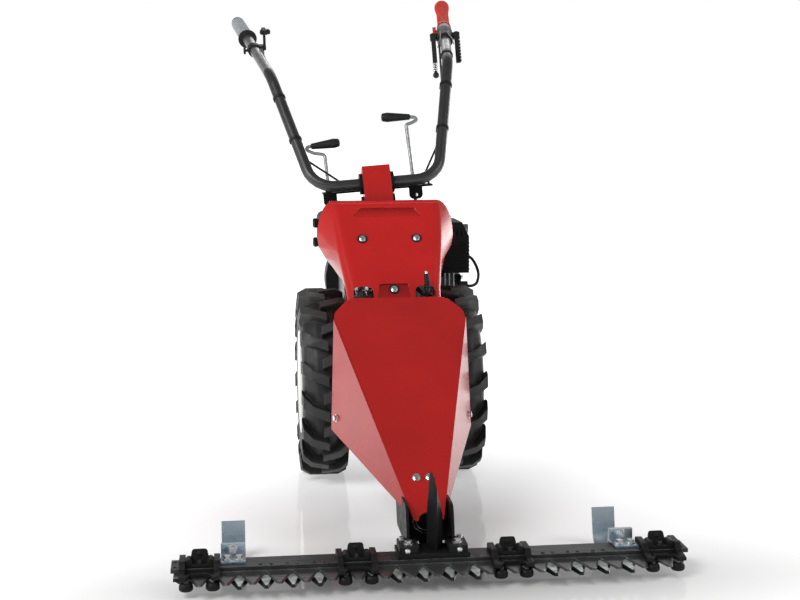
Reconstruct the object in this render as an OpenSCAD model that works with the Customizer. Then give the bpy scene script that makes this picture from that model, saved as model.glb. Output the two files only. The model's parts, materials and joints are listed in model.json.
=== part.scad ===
// Two-wheel walk-behind sickle bar mower.
// Drawn in millimetres, +Z up, the cutter bar at the front towards -Y, the handlebar at the rear.
// Heights run from the ground; depths run back from the front edge of the back bar, and the
// finished part is shifted so that its origin lies on the ground under the middle of its box.

/* [Cutter bar] */
// Distance between two fingers, which is also the full stroke of the knife
knife_pitch = 44; // [36:1:56]
// Number of fingers along the bar
finger_count = 20; // [14:2:26]
// Depth of the back bar from front to rear
bar_depth = 50; // [44:1:64]
// Thickness of the back bar
bar_t = 7; // [5:0.5:12]
// Height of the back bar's underside above the ground
bar_z = 33; // [30:1:44]
// Reach of the fingers in front of the back bar
finger_reach = 58; // [48:1:72]
// Thickness of the fingers
finger_t = 6; // [4:0.5:8]
// Thickness of the knife sections
knife_t = 3; // [2:0.25:4]
// Height of the hold-downs above the back bar
hold_h = 24; // [20:1:32]
// Width of one hold-down along the bar
hold_w = 68; // [60:1:74]

/* [Skids] */
// Width of a skid
skid_w = 42; // [30:1:60]
// Thickness of the skid strip
skid_t = 4; // [3:0.5:6]
// Length of the skid's flat sole
sole_len = 105; // [70:1:150]
// Height of the skid's raised tail
tail_z = 66; // [40:1:90]

/* [Running gear] */
// Outer diameter of the tyres over the lugs
tyre_d = 410; // [380:2:440]
// Width of a tyre
tyre_w = 103; // [92:1:112]
// Distance between the two tyres' middles
track = 290; // [280:1:330]
// Distance of the axle behind the front edge of the back bar
axle_y = 762; // [720:2:840]
// Diameter of the axle
axle_d = 25; // [20:1:32]
// Diameter of the rim's bead seats
rim_d = 204; // [180:2:220]
// Number of lugs on each half of a tyre
lug_count = 17; // [13:1:21]
// Height of the lugs
lug_h = 15; // [8:1:18]

/* [Drive] */
// Diameter of the drive tube between the gearbox and the bar
tube_d = 48; // [40:1:54]
// Width of the gearbox casting
gear_w = 116; // [100:2:130]
// Height of the gearbox above the axle
gear_h = 205; // [190:1:230]
// Height of the engine's crankshaft above the axle
crank_up = 195; // [190:1:215]
// Diameter of the drum that carries the swing arm
drum_d = 56; // [44:1:60]
// Length of the swing arm from its pivot to its pin
swing_len = 57; // [54:1:62]

/* [Engine] */
// Width of the crankcase
case_w = 168; // [150:1:170]
// Height of the crankcase
case_h = 180; // [170:1:190]
// Depth of the crankcase
case_depth = 160; // [150:1:180]
// Diameter of the fan housing
fan_d = 236; // [220:2:250]
// Number of cooling fins on the cylinder
fin_count = 9; // [6:1:11]
// Height of the fuel tank
tank_h = 105; // [92:1:112]
// Number of slots in the recoil starter's cover
recoil_slots = 20; // [12:1:28]

/* [Hood and shield] */
// Thickness of the hood's wall
hood_t = 4; // [3:0.5:6]
// Height of the hood from its lower to its upper edge
hood_h = 202; // [190:1:215]
// Half width of the hood's front at its upper edge
hood_top_half = 113; // [100:1:125]
// Half width of the hood's front at its lower edge
hood_foot_half = 99; // [94:1:110]
// Half width of the hood's rear edge at its widest level
hood_wide_half = 150; // [140:1:158]
// Thickness of the shield's sheet
shield_t = 2.5; // [1.5:0.25:4]
// Half width of the shield at its widest level
shield_half = 132; // [120:1:140]
// Half width of the shield's straight upper edge
shield_top_half = 100; // [85:1:110]

/* [Handlebar] */
// Diameter of the handlebar tube
bar_tube_d = 25; // [22:1:28]
// Width of the column
column_w = 62; // [54:1:70]
// Sideways set of the column, in degrees
lean = 4.3; // [0:0.1:5]
// Half distance between the handlebar's lower bends
bend_low_half = 139; // [132:1:150]
// Half distance between the handlebar's upper bends
bend_high_half = 206; // [195:1:225]
// Half distance between the ends of the grips
grip_half = 267; // [250:1:300]
// Length of the ribbed grip
grip_len = 150; // [120:1:170]
// Length of the plain grip
long_grip = 185; // [150:1:200]
// Diameter of the lever rods
rod_d = 8; // [6:0.5:9]

/* [Hidden] */
$fn = 48;
// Overrun of every cut past the face that it opens
over = 1;
// Gap between pieces that slide or turn on each other
run_gap = 0.2;
// Gap between a shaft or sleeve and its bore
fit_gap = 0.05;
// Gap between seated round pieces
seat_gap = 0.3;
// Steps of a rounded corner
arc_steps = 6;

// Levels of the knife and the fingers under the back bar
knife_back_t = 3.4;
bar_top = bar_z + bar_t;
knife_back_z = bar_z - run_gap - knife_back_t;
knife_z = knife_back_z - knife_t;
comb_top = knife_z - run_gap;
comb_z = comb_top - finger_t;
bar_end = 4;
bar_len = finger_count * knife_pitch + bar_end * 2;
knife_count = finger_count - 1;
stroke_half = knife_pitch / 2;
// Middle of the outer and inner hold-downs, each over a knife section
hold_outer = (finger_count / 2 - 1) * knife_pitch;
hold_inner = round((finger_count / 2 - 1) / 3) * knife_pitch;
hold_xs = [-hold_outer, -hold_inner, hold_inner, hold_outer];

// Finger and knife outlines, as shares of the pitch and of the reach in front of the back bar
comb_front_share = 0.10;
finger_shares = [[0.46, 0.05], [0.42, 0.16], [0.30, 0.46], [0.07, 1]];
knife_shares = [[0.42, 0.14], [0.29, 0.47], [0.10, 0.94]];
finger_top_share = 0.6;
knife_gap = 0.4;
knife_back_w = 15;
bevel = 3;
comb_step_y = 18;

// Knife head, swing arm and the hitch on the middle of the bar
head_w = 24;
pin_d = 12;
pin_play = 0.9;
fork_front = 124;
fork_depth = 22;
fork_rise = 6;
swing_pin_z = 48;
swing_z = swing_pin_z + swing_len;
swing_t = 16;
swing_hub_d = 32;
swing_neck = 7;
swing_w = 18;
stub_d = 16;
stub_cap_d = 24;
stub_cap_t = 4;
head_window = head_w / 2 + stroke_half + 4;
hitch_t = 8;
hitch_half = 62;
hitch_front = 4;
hitch_depth = 58;
cheek_t = 5;
cheek_x = head_w / 2 + stroke_half + 3;
drum_front = fork_front + fork_depth + 8;
drum_len = 64;
lug_boss_d = 24;
clamp_w = 34;
clamp_h = 12;
clamp_gap = 25;
divider_half = 14;
divider_x = 7;
divider_h = 132;
divider_neck = 52;
divider_front = 22;
divider_depth = 28;
divider_t = 4;
divider_point = 3;

// Bolts: head radius and head height of the three sizes
bolt_r = 6.5;
bolt_h = 5;
small_r = 5;
small_h = 4;
panel_r = 6;
panel_h = 4.5;
washer_t = 1.6;
end_hole_d = 6.6;
end_hole_gap = 26;
end_hole_in = 7;

// Hold-downs
saddle_t = 5;
saddle_half = 24;
saddle_front = 4;
saddle_depth = 42;
tab_foot = 33;
tab_top = 25;
tab_t = 4;
tab_hole = 5;
tab_y = 30;
tab_lean = 18;
claw_t = 10;
claw_nose = 10;
shoe_t = 6.5;
shoe_reach = 33;
shoe_foot = 30;
shoe_head = 42;
shoe_notch = 16;
eye_d = 12;
eye_len = 22;
guard_z = 7;
guard_half = 10;
guard_d = 26;
guard_round = 5;
guard_back = 4;

// Skids
skid_x = hold_outer - hold_w / 2 - skid_w / 2 - over;
skid_leg_y = bar_depth + 14;
skid_leg_top = bar_top + 22;
tail_run = 14;
skid_bend = 10;
tail_bend = 26;
angle_t = 4;
angle_front = 16;
skid_bolt_gap = 20;
skid_bolt_y = 32;

// Chassis
axle_z = tyre_d / 2;
lean_up = 245;
flange_y = axle_y - 172;
flange_z = axle_z + 30;
flange_d = 100;
flange_t = 18;
socket_depth = 14;
gear_front = 172;
gear_rear = 45;
gear_low = 62;
sleeve_d = 104;
sleeve_half = 84;
bell_d = 176;
bell_t = 30;
gear_shares = [[0, 0.42], [0, 0.24], [0.24, 0.02], [0.52, 0], [0.90, 0.10], [1, 0.34], [1, 1],
               [0.45, 1], [0.18, 0.62]];
gear_radii = [10, 18, 20, 30, 30, 16, 10, 22, 30];
gear_rib_t = 6;
gear_rib = 7;
gear_rib_share = 0.7;
engine_y = axle_y + gear_rear + bell_t;
crank_z = axle_z + crank_up;

// Wheels, drawn round their own axis
rim_r = rim_d / 2;
rim_t = 3;
rim_lip = 11;
rim_well = 14;
bead_half = 40;
hub_d = 54;
hub_flange_d = 116;
hub_flange_t = 6;
disc_t = 4;
disc_hole_d = 30;
wheel_bolt_ring = 45;
wheel_bolt_count = 4;
axle_stub = 22;
carcass_shares = [[0, 0.78], [0.22, 0.93], [0.50, 1], [0.80, 0.90], [1, 0.42]];
lug_shares = [[-0.16, -0.06], [0.12, -0.06], [0.30, 0.26], [0.62, 0.54], [0.26, 0.54], [0.02, 0.26]];
lug_skirt = 34;

// Shield: the slope of its front and its side sheets
shield_low_y = 70;
shield_low_z = 87;
shield_top_y = 548;
shield_top_z = axle_z + 211;
shield_rise = atan2(shield_top_z - shield_low_z, shield_top_y - shield_low_y);
shield_len = norm([shield_top_z - shield_low_z, shield_top_y - shield_low_y]);
shield_tip_half = 24;
shield_arch_d = 36;
shield_lip = 62;
shield_corner = 34;
skirt_rear_y = axle_y - 282;
skirt_rear_z = axle_z - 45;
skirt_rear_half = 140;
strap_y = axle_y - 310;
strap_t = 6;
strap_h = 20;
strap_tab = 26;
strap_ring_d = 74;
low_bolt_half = 12;
low_bolt_up = 97;
low_bolt_pad = 20;

// Hood: its front slopes back from the lower to the upper edge
hood_foot_y = axle_y - 190;
hood_foot_z = axle_z + 194;
hood_run = 184;
hood_rear_y = axle_y + 10;
hood_corner = 26;
hood_levels = 12;
hood_wide_share = 0.60;
hood_rear_foot_half = 90;
notch_mid = 65;
notch_w = 42;
notch_h = 34;
hood_bolt_half = 58;
hood_bolt_shares = [0.14, 0.62];
dish = 2.2;
scoop_w = 118;
scoop_foot = 152;
scoop_h = 24;
scoop_share = 0.84;
pocket_w = 62;
pocket_foot = 74;
pocket_h = 52;
hood_post_d = 16;
hood_strap_w = 84;
hood_strap_t = 4;
hood_strap_drop = 3;
hood_plate_t = 8;
hood_plate_h = 20;
hood_low_post = 50;

// Engine blocks, from the crankshaft and the engine's front face
case_left = 88;
case_low = 105;
case_corner = 26;
cyl_len = 92;
cyl_depth = 98;
cyl_front = 58;
cyl_low = 35;
cyl_high = 25;
cyl_core = 12;
fin_t = 3;
cover_t = 20;
cover_in = 9;
cover_corner = 14;
guard_gap = 5;
guard_left = 112;
guard_right = 197;
guard_h = 115;
guard_wide = 125;
guard_t = 3;
guard_chamfer = 16;
guard_slots = 7;
guard_slot_w = 5;
guard_slot_h = 16;
tank_gap = 5;
tank_left = 50;
tank_right = 160;
tank_step = 105;
tank_front = 32;
tank_corner = 16;
cap_d = 56;
cap_h = 18;
cap_x = 10;
cap_y = 105;
cap_ribs = 14;
neck_d = 40;
neck_h = 6;
filter_left = 138;
filter_w = 80;
filter_h = 84;
filter_depth = 120;
filter_front = 40;
filter_corner = 16;
fan_depth = 60;
fan_duct = 62;
duct_len = 150;
recoil_d = 176;
recoil_t = 26;
recoil_hub_d = 60;
slot_len = 26;
slot_w = 7;
pull_len = 62;
pull_d = 18;
pull_stem_d = 10;
pull_stem = 9;
plug_y = 68;
plug_z = -8;
plug_d = 18;
plug_len = 24;
boot_d = 22;
boot_len = 20;
lead_d = 7;
// Way of the ignition lead from its start and up to its stop
lead_out = [[18, 0, 0], [50, -6, 2], [74, -40, -6]];
lead_in = [[30, 30, 30], [24, 6, 8], [12, 0, 0]];

// Column and handlebar, drawn upright and then set over sideways by the lean
lean_z = axle_z + lean_up;
foot_y = axle_y - 5;
foot_d = 80;
foot_t = 10;
seat_t = 18;
column_t = 5;
column_d = 46;
cross_y = axle_y + 57;
cross_z = axle_z + 432;
column_over = 34;
column_lean = atan2(cross_y - foot_y, cross_z - lean_z);
column_len = norm([cross_y - foot_y, cross_z - lean_z]);
disc_d = 46;
disc_side_t = 7;
bend_high_y = cross_y + 181;
bend_high_z = cross_z + 253;
grip_y = cross_y + 616;
grip_z = cross_z + 405;
bend_low_r = 62;
bend_high_r = 90;
grip_d = 34;
grip_over = 4;
grip_ribs = 11;
grip_flange_d = 46;
flare_d = 38;
lock_down = 38;
lock_d = 12;
lock_len = 54;
lock_w = 18;
lock_t = 6;

// Levers on the grips
throttle_share = 0.53;
throttle_arm = 34;
throttle_knob = 14;
strap_w = 18;
clutch_share = 0.55;
clutch_len = 74;
reverse_len = 70;
lever_drop = 50;
lever_t = 5;
lever_w = 16;
lever_pin_d = 8;
lever_out = 16;
lever_ribs = 7;
clamp_wall = 4;
clutch_w = 60;
clutch_wall = 7;
throttle_out = 10;
throttle_ear = 22;
wing_len = 14;
wing_w = 16;
coil_len = 26;
coil_rod_d = 6;
coil_d = 11;
coil_wire = 2.6;
coil_turns = 5;
coil_steps = 12;
ball_d = 15;
cable_d = 5;
cable_out = bar_tube_d / 2 + cable_d / 2 + seat_gap;
cable_bend_r = 40;
throttle_turns = [0, -70];
clutch_turns = [-20, -55];
reverse_turns = [-70, -100];
join_share = 0.86;
leave_share = 0.28;
throttle_stop_x = 72;
clutch_stop_x = 110;
reverse_stop_x = 121;
stop_back = -8;
stop_rise = 16;
tie_t = 2;
tie_w = 6;
tie_shares = [0.42, 0.8];
high_tie_share = 0.12;

// Lever rods, their guides and their knobs
guide_t = 4;
guide_z = cross_z - 14;
guide_y = cross_y + 44;
guide_w = 30;
ear_h = 30;
guide_foot_z = axle_z + 290;
left_rod_x = -104;
right_rod_x = 88;
rod_back = 0.42;
left_rod_top = cross_z + 59;
right_rod_top = cross_z + 116;
rod_foot = 26;
rod_side = 26;
left_curl_shares = [[0.1, 0.35], [0.9, 0.55], [1.4, 0.8], [1.5, 1.0], [1.38, 1.13], [1.15, 1.145]];
right_curl_shares = [[0.05, 0.15], [0.55, 0.3], [0.93, 0.5], [0.8, 0.72], [0.44, 0.8]];
knob_len = 66;
knob_thin_d = 13;
knob_thick_d = 22;
knob_tip_share = 0.06;
eye_wall = 4;
eye_h = 14;

// Rearmost and foremost points, which place the origin
grip_dir = unit([grip_half - bend_high_half, grip_y - bend_high_y, grip_z - bend_high_z]);
rear_y = grip_y + grip_over * grip_dir.y + flare_d / 2 * sqrt(1 - grip_dir.y * grip_dir.y);
mid_y = (rear_y - finger_reach) / 2;

function unit(v) = v / norm(v);
function mix(a, b, t) = a + (b - a) * t;
function flip(p) = [-p.x, p.y, p.z];

// Arc of radius r that rounds the corner b between a and c
function corner(a, b, c, r) = let(
    u = unit(a - b),
    v = unit(c - b),
    half = acos(u * v) / 2,
    reach = min(r / tan(half), min(norm(a - b), norm(c - b)) * 0.49),
    rr = reach * tan(half),
    mid = b + unit(u + v) * rr / sin(half))
    [for (i = [0 : arc_steps]) mid + unit(mix(b + u * reach, b + v * reach, i / arc_steps) - mid) * rr];

// Closed outline with rounded corners
function outline(pts, radii) = let(n = len(pts)) [for (i = [0 : n - 1])
    each (radii[i] == 0 ? [pts[i]] : corner(pts[(i + n - 1) % n], pts[i], pts[(i + 1) % n], radii[i]))];

// Open path with rounded corners
function bends(pts, radii) = let(n = len(pts)) [for (i = [0 : n - 1])
    each (radii[i] == 0 ? [pts[i]] : corner(pts[i - 1], pts[i], pts[i + 1], radii[i]))];

// Strip of thickness t along a plane path
function strip(pts, t) = let(
    n = len(pts),
    across = [for (i = [0 : n - 1]) let(u = unit(pts[min(i + 1, n - 1)] - pts[max(i - 1, 0)])) [-u.y, u.x]])
    concat([for (i = [0 : n - 1]) pts[i] + across[i] * t / 2],
           [for (i = [n - 1 : -1 : 0]) pts[i] - across[i] * t / 2]);

// Smooth curve through the points of a route
function curve_at(a, b, c, d, t) =
    b + ((c - a) * t + (a * 2 - b * 5 + c * 4 - d) * t * t + (b * 3 - a - c * 3 + d) * t * t * t) / 2;
function curve(pts, steps) = let(n = len(pts)) concat([for (i = [0 : n - 2], k = [0 : steps - 1])
    curve_at(pts[max(i - 1, 0)], pts[i], pts[i + 1], pts[min(i + 2, n - 1)], k / steps)], [pts[n - 1]]);

// Solid through a stack of rings that run anticlockwise as seen from its far end
module loft(rings) {
    n = len(rings[0]);
    m = len(rings);
    sides = [for (j = [0 : m - 2], i = [0 : n - 1]) let(a = j * n + i, b = j * n + (i + 1) % n)
        each [[a, a + n, b + n], [a, b + n, b]]];
    foot = [for (i = [0 : n - 1]) i];
    head = [for (i = [n - 1 : -1 : 0]) (m - 1) * n + i];
    polyhedron([for (r = rings) each r], concat([foot], sides, [head]), convexity = 6);
}

// Square directions that follow a path without twisting
function carried(ways, u, i = 0) = i == len(ways) ? [] : let(v = unit(u - ways[i] * (u * ways[i])))
    concat([v], carried(ways, v, i + 1));

// Round cable, rod or tube of diameter d along a route of points
module cable(path, d, sides = 8) {
    n = len(path);
    ways = [for (i = [0 : n - 1]) unit(path[min(i + 1, n - 1)] - path[max(i - 1, 0)])];
    first = cross(ways[0], abs(ways[0].z) < 0.9 ? [0, 0, 1] : [1, 0, 0]);
    us = carried(ways, first);
    loft([for (i = [0 : n - 1]) [for (k = [0 : sides - 1]) let(v = cross(ways[i], us[i]))
        path[i] + (us[i] * cos(360 * k / sides) + v * sin(360 * k / sides)) * d / 2]]);
}

// Children drawn along +Z are laid from point a towards point b
module aim(a, b) {
    w = unit(b - a);
    u = unit(cross(abs(w.z) < 0.9 ? [0, 0, 1] : [1, 0, 0], w));
    v = cross(w, u);
    multmatrix([[u.x, v.x, w.x, a.x], [u.y, v.y, w.y, a.y], [u.z, v.z, w.z, a.z], [0, 0, 0, 1]]) children();
}

module rod(a, b, d) {
    aim(a, b) cylinder(h = norm(b - a), d = d);
}

// Frame of a plane polygon in space: +X along its first edge, +Z on the side its corners turn about
module on_plane(pts) {
    u = unit(pts[1] - pts[0]);
    w = unit(cross(u, pts[2] - pts[0]));
    v = cross(w, u);
    o = pts[0];
    multmatrix([[u.x, v.x, w.x, o.x], [u.y, v.y, w.y, o.y], [u.z, v.z, w.z, o.z], [0, 0, 0, 1]]) children();
}

// Places of points in the frame of a plane polygon
function in_plane(pts, ps) = let(
    u = unit(pts[1] - pts[0]),
    v = cross(unit(cross(u, pts[2] - pts[0])), u))
    [for (p = ps) [(p - pts[0]) * u, (p - pts[0]) * v]];

// Flat sheet of thickness t over a plane polygon in space
module sheet(pts, t) {
    on_plane(pts) linear_extrude(t) polygon(in_plane(pts, pts));
}

// A side profile in depth and height, extruded across the machine
module across(w) {
    rotate([90, 0, 90]) linear_extrude(w, center = true) children();
}

// A front profile in width and height, extruded back from depth y
module back_from(y, depth) {
    translate([0, y + depth, 0]) rotate([90, 0, 0]) linear_extrude(depth) children();
}

module block(x0, x1, y0, y1, z0, z1) {
    translate([x0, y0, z0]) cube([x1 - x0, y1 - y0, z1 - z0]);
}

module round_bar_y(x, y, z, d, len) {
    translate([x, y, z]) rotate([-90, 0, 0]) cylinder(h = len, d = d);
}

module round_bar_x(x, y, z, d, len) {
    translate([x, y, z]) rotate([0, 90, 0]) cylinder(h = len, d = d);
}

module hex_bolt(r = bolt_r, h = bolt_h) {
    cylinder(h = washer_t, r = r * 1.3);
    translate([0, 0, washer_t]) cylinder(h = h, r = r, $fn = 6);
}

module both() {
    children();
    mirror([1, 0, 0]) children();
}

// The part's own frame
module placed() {
    translate([0, -mid_y, 0]) children();
}

// The sideways set of the column about the foot that it turns on
module leaned() {
    translate([0, 0, lean_z]) rotate([0, -lean, 0]) translate([0, 0, -lean_z]) children();
}

// The shield's sloping front, drawn with +Y up the slope and +Z out of it
module on_slope() {
    translate([0, shield_low_y, shield_low_z]) rotate([shield_rise, 0, 0]) children();
}

// Cutter bar

module cutter_bar() color("dimgray") placed() difference() {
    block(-bar_len / 2, bar_len / 2, 0, bar_depth, bar_z, bar_top);
    both() for (s = [-1, 1])
        translate([bar_len / 2 - end_hole_in, bar_depth / 2 + s * end_hole_gap / 2, bar_z - over])
            cylinder(h = bar_t + over * 2, d = end_hole_d);
}

// Outline of one finger over its reach, narrowed by a share
function finger_outline(narrow, reach) = concat(
    [for (i = [0 : 3]) [-finger_shares[i].x * knife_pitch * narrow, -finger_shares[i].y * reach]],
    [for (i = [3 : -1 : 0]) [finger_shares[i].x * knife_pitch * narrow, -finger_shares[i].y * reach]]);

// Fingers beside a hold-down stop short of its guards
function finger_len(x) = len([for (h = hold_xs) if (abs(x - h) < knife_pitch) h]) > 0
    ? finger_reach - guard_d - seat_gap : finger_reach;

module finger_plate() color("silver") placed() {
    front = -comb_front_share * finger_reach;
    span = finger_count * knife_pitch / 2;
    difference() {
        union() {
            block(-span, span, front, bar_depth, comb_z, comb_top);
            block(-span, span, comb_step_y, bar_depth, comb_top, bar_z);
            for (i = [0 : finger_count - 1]) let(x = (i + 0.5) * knife_pitch - span)
                translate([x, 0, comb_z]) loft([for (k = [0, 1])
                    [for (p = finger_outline(k == 0 ? 1 : finger_top_share, finger_len(x)))
                        [p.x, p.y, k * finger_t]]]);
        }
        block(-head_window, head_window, comb_step_y - over, bar_depth + over, comb_top, bar_z + over);
    }
}

// Rounded noses in front of the short fingers beside each hold-down, on tongues under the comb
module lower_guards() color("black") placed() for (x = hold_xs, s = [-1, 1])
    translate([x + s * stroke_half, 0, 0]) {
        high = comb_top - run_gap - guard_z;
        translate([0, guard_d / 2 - finger_reach, guard_z]) rotate_extrude() polygon(outline(
            [[0, 0], [guard_d / 2, 0], [guard_d / 2, high], [0, high]], [0, guard_round, guard_round, 0]));
        block(-guard_half, guard_half, guard_d / 2 - finger_reach, -guard_back, guard_z, comb_z);
    }

module knife_back() color("dimgray") placed() {
    half = knife_count * knife_pitch / 2;
    block(-half, half, 0, knife_back_w, knife_back_z, knife_back_z + knife_back_t);
}

function section_outline(inset) = let(h = knife_pitch / 2 - knife_gap / 2, d = bevel * inset) concat(
    [[-h, knife_back_w], [-h, 0]],
    [for (i = [0 : 2]) [-knife_shares[i].x * knife_pitch + d,
        -knife_shares[i].y * finger_reach + d * (i == 2 ? 1 : 0)]],
    [for (i = [2 : -1 : 0]) [knife_shares[i].x * knife_pitch - d,
        -knife_shares[i].y * finger_reach + d * (i == 2 ? 1 : 0)]],
    [[h, 0], [h, knife_back_w]]);

module knife_sections() color("dimgray") placed() for (i = [0 : knife_count - 1])
    translate([(i - (knife_count - 1) / 2) * knife_pitch, 0, knife_z])
        loft([for (k = [0, 1]) [for (p = section_outline(k)) [p.x, p.y, k * knife_t]]]);

module knife_head() color("dimgray") placed() {
    top = swing_pin_z + fork_rise;
    rear = fork_front + fork_depth;
    slot = pin_d + pin_play * 2;
    difference() {
        union() {
            block(-head_w / 2, head_w / 2, knife_back_w, rear, knife_back_z, knife_back_z + knife_back_t);
            block(-head_w / 2, head_w / 2, fork_front, rear, knife_back_z, top);
        }
        round_bar_y(0, fork_front - over, swing_pin_z - pin_play, slot, fork_depth + over * 2);
        block(-slot / 2, slot / 2, fork_front - over, rear + over, swing_pin_z - pin_play, top + over);
    }
}

// A cast clamp over the back bar: saddle, upright tab, side claws and the shoe over the knife
module hold_down() {
    outer = hold_w / 2;
    rear = saddle_front + saddle_depth;
    shoe_z = knife_z + knife_t + seat_gap;
    block(-saddle_half, saddle_half, saddle_front, rear, bar_top, bar_top + saddle_t);
    translate([0, tab_y, bar_top + saddle_t]) rotate([90 - tab_lean, 0, 0])
        translate([0, 0, -tab_t / 2]) linear_extrude(tab_t) difference() {
            polygon(outline([[-tab_foot / 2, -saddle_t / 2], [tab_foot / 2, -saddle_t / 2],
                [tab_top / 2, hold_h - saddle_t], [-tab_top / 2, hold_h - saddle_t]],
                [0, 0, tab_hole, tab_hole]));
            translate([0, hold_h - saddle_t - tab_hole * 1.6]) circle(d = tab_hole);
        }
    both() translate([outer - claw_t / 2, 0, 0]) across(claw_t) polygon(outline(
        [[rear, bar_top], [rear, bar_top + hold_h / 2], [0, bar_top + hold_h / 2],
         [-claw_nose, bar_top], [-shoe_reach, shoe_z + shoe_t], [-shoe_reach, shoe_z],
         [-run_gap, shoe_z], [-run_gap, bar_top]],
        [0, eye_d, eye_d, eye_d, shoe_t / 2, 0, 0, 0]));
    both() block(saddle_half - over, outer - claw_t / 2, saddle_front, rear, bar_top, bar_top + saddle_t);
    both() round_bar_y(saddle_half - eye_d / 2, saddle_front, bar_top + saddle_t + eye_d * 0.3, eye_d,
        eye_len);
    translate([0, 0, shoe_z]) linear_extrude(shoe_t) polygon(outline(
        [[-outer, -run_gap], [-outer, -shoe_reach], [-shoe_head / 2, -shoe_reach],
         [-shoe_foot / 2, -shoe_notch], [shoe_foot / 2, -shoe_notch],
         [shoe_head / 2, -shoe_reach], [outer, -shoe_reach], [outer, -run_gap]],
        [0, claw_t / 2, claw_t / 2, tab_t, tab_t, claw_t / 2, claw_t / 2, 0]));
}

module hold_downs() color([0.12, 0.12, 0.13]) placed() for (x = hold_xs) translate([x, 0, 0]) hold_down();

module bar_bolts() color("dimgray") placed() {
    for (x = hold_xs)
        translate([x, saddle_front + bolt_r * 1.4, bar_top + saddle_t]) hex_bolt(small_r, small_h);
    for (s = [-1, 1]) {
        for (k = [-1, 1])
            translate([s * skid_x + k * skid_bolt_gap / 2, skid_bolt_y, bar_top + angle_t]) hex_bolt();
        translate([s * (cheek_x + cheek_t + clamp_gap + clamp_w) / 2, hitch_front + hitch_depth * 0.8,
                   bar_top + hitch_t + clamp_h]) hex_bolt(small_r, small_h);
        translate([s * (clamp_gap + clamp_w / 2), hitch_front + hitch_depth * 0.34,
            bar_top + hitch_t + clamp_h]) hex_bolt();
        translate([s * skid_x, skid_leg_y - skid_t / 2 - angle_t, (bar_top + angle_t + skid_leg_top) / 2])
            rotate([90, 0, 0]) hex_bolt();
    }
}

// A bent steel strip that carries the bar on the ground, and the angle that holds it on the bar
module skid() {
    run = skid_leg_y + sole_len;
    path = bends([[skid_leg_y, skid_leg_top], [skid_leg_y, skid_t / 2], [run, skid_t / 2],
        [run + tail_run, tail_z]], [0, skid_bend, tail_bend, 0]);
    across(skid_w) polygon(strip(path, skid_t));
    block(-skid_w / 2, skid_w / 2, angle_front, skid_leg_y - skid_t / 2, bar_top, bar_top + angle_t);
    block(-skid_w / 2, skid_w / 2, skid_leg_y - skid_t / 2 - angle_t, skid_leg_y - skid_t / 2,
        bar_top + angle_t, skid_leg_top);
}

module skid_left() color("lightsteelblue") placed() translate([-skid_x, 0, 0]) skid();

module skid_right() color("lightsteelblue") placed() translate([skid_x, 0, 0]) skid();

// Hitch and knife drive

// Base plate on the bar with two cheeks that hold the crank housing
module hitch_frame() color([0.12, 0.12, 0.13]) placed() {
    low = bar_top + hitch_t;
    front = hitch_front + hitch_depth / 2;
    rear = drum_front + drum_len;
    block(-hitch_half, hitch_half, hitch_front, hitch_front + hitch_depth, bar_top, low);
    both() difference() {
        translate([cheek_x + cheek_t / 2, 0, 0]) across(cheek_t) difference() {
            polygon(outline([[front, bar_top + hitch_t / 2], [rear - drum_len / 3, bar_top + hitch_t / 2],
                [rear, swing_z - drum_d / 4], [rear, swing_z + drum_d / 5],
                [hitch_front + hitch_depth, swing_z + drum_d / 5],
                [hitch_front + hitch_depth * 0.7, low + clamp_h]],
                [0, drum_d / 4, drum_d / 5, drum_d / 5, drum_d / 3, 0]));
            translate([drum_front + drum_len / 2, swing_z]) circle(d = lug_boss_d * 0.5);
        }
        on_plane(skirt_corners()) translate([0, 0, -seat_gap]) linear_extrude(shield_t + seat_gap * 2)
            polygon(in_plane(skirt_corners(), skirt_corners()));
    }
}

module hitch_clamps() color([0.12, 0.12, 0.13]) placed() both() difference() {
    front = hitch_front + over;
    rear = hitch_front + hitch_depth - over;
    translate([0, 0, bar_top + hitch_t]) linear_extrude(clamp_h) polygon(outline(
        [[clamp_gap, front], [clamp_gap + clamp_w, front], [clamp_gap + clamp_w, rear], [clamp_gap, rear]],
        [clamp_h / 2, clamp_h / 2, clamp_h / 2, clamp_h / 2]));
    block(cheek_x - seat_gap, cheek_x + cheek_t + seat_gap, hitch_front + hitch_depth / 2 - seat_gap,
        rear + over, bar_top, bar_top + hitch_t + clamp_h + over);
}

// Upright blade of folded sheet that parts the crop in front of the drive
module crop_divider() color([0.1, 0.1, 0.11]) placed() translate([divider_x, 0, 0]) intersection() {
    low = bar_top + hitch_t;
    rear = divider_front + divider_depth;
    translate([0, 0, low]) linear_extrude(divider_h) polygon([
        [-divider_half, rear], [0, divider_front], [divider_half, rear], [divider_half - divider_t, rear],
        [0, divider_front + divider_t * 1.5], [-divider_half + divider_t, rear]]);
    back_from(0, bar_depth + divider_depth) polygon([
        [-divider_half, low], [divider_half, low], [divider_half, low + divider_neck],
        [divider_point / 2 - divider_x, low + divider_h], [-divider_point / 2 - divider_x, low + divider_h],
        [-divider_half, low + divider_neck]]);
}

// Lower and upper ends of the drive tube
tube_low = [0, drum_front + drum_len - socket_depth, swing_z];
tube_high = [0, flange_y, flange_z];

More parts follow.
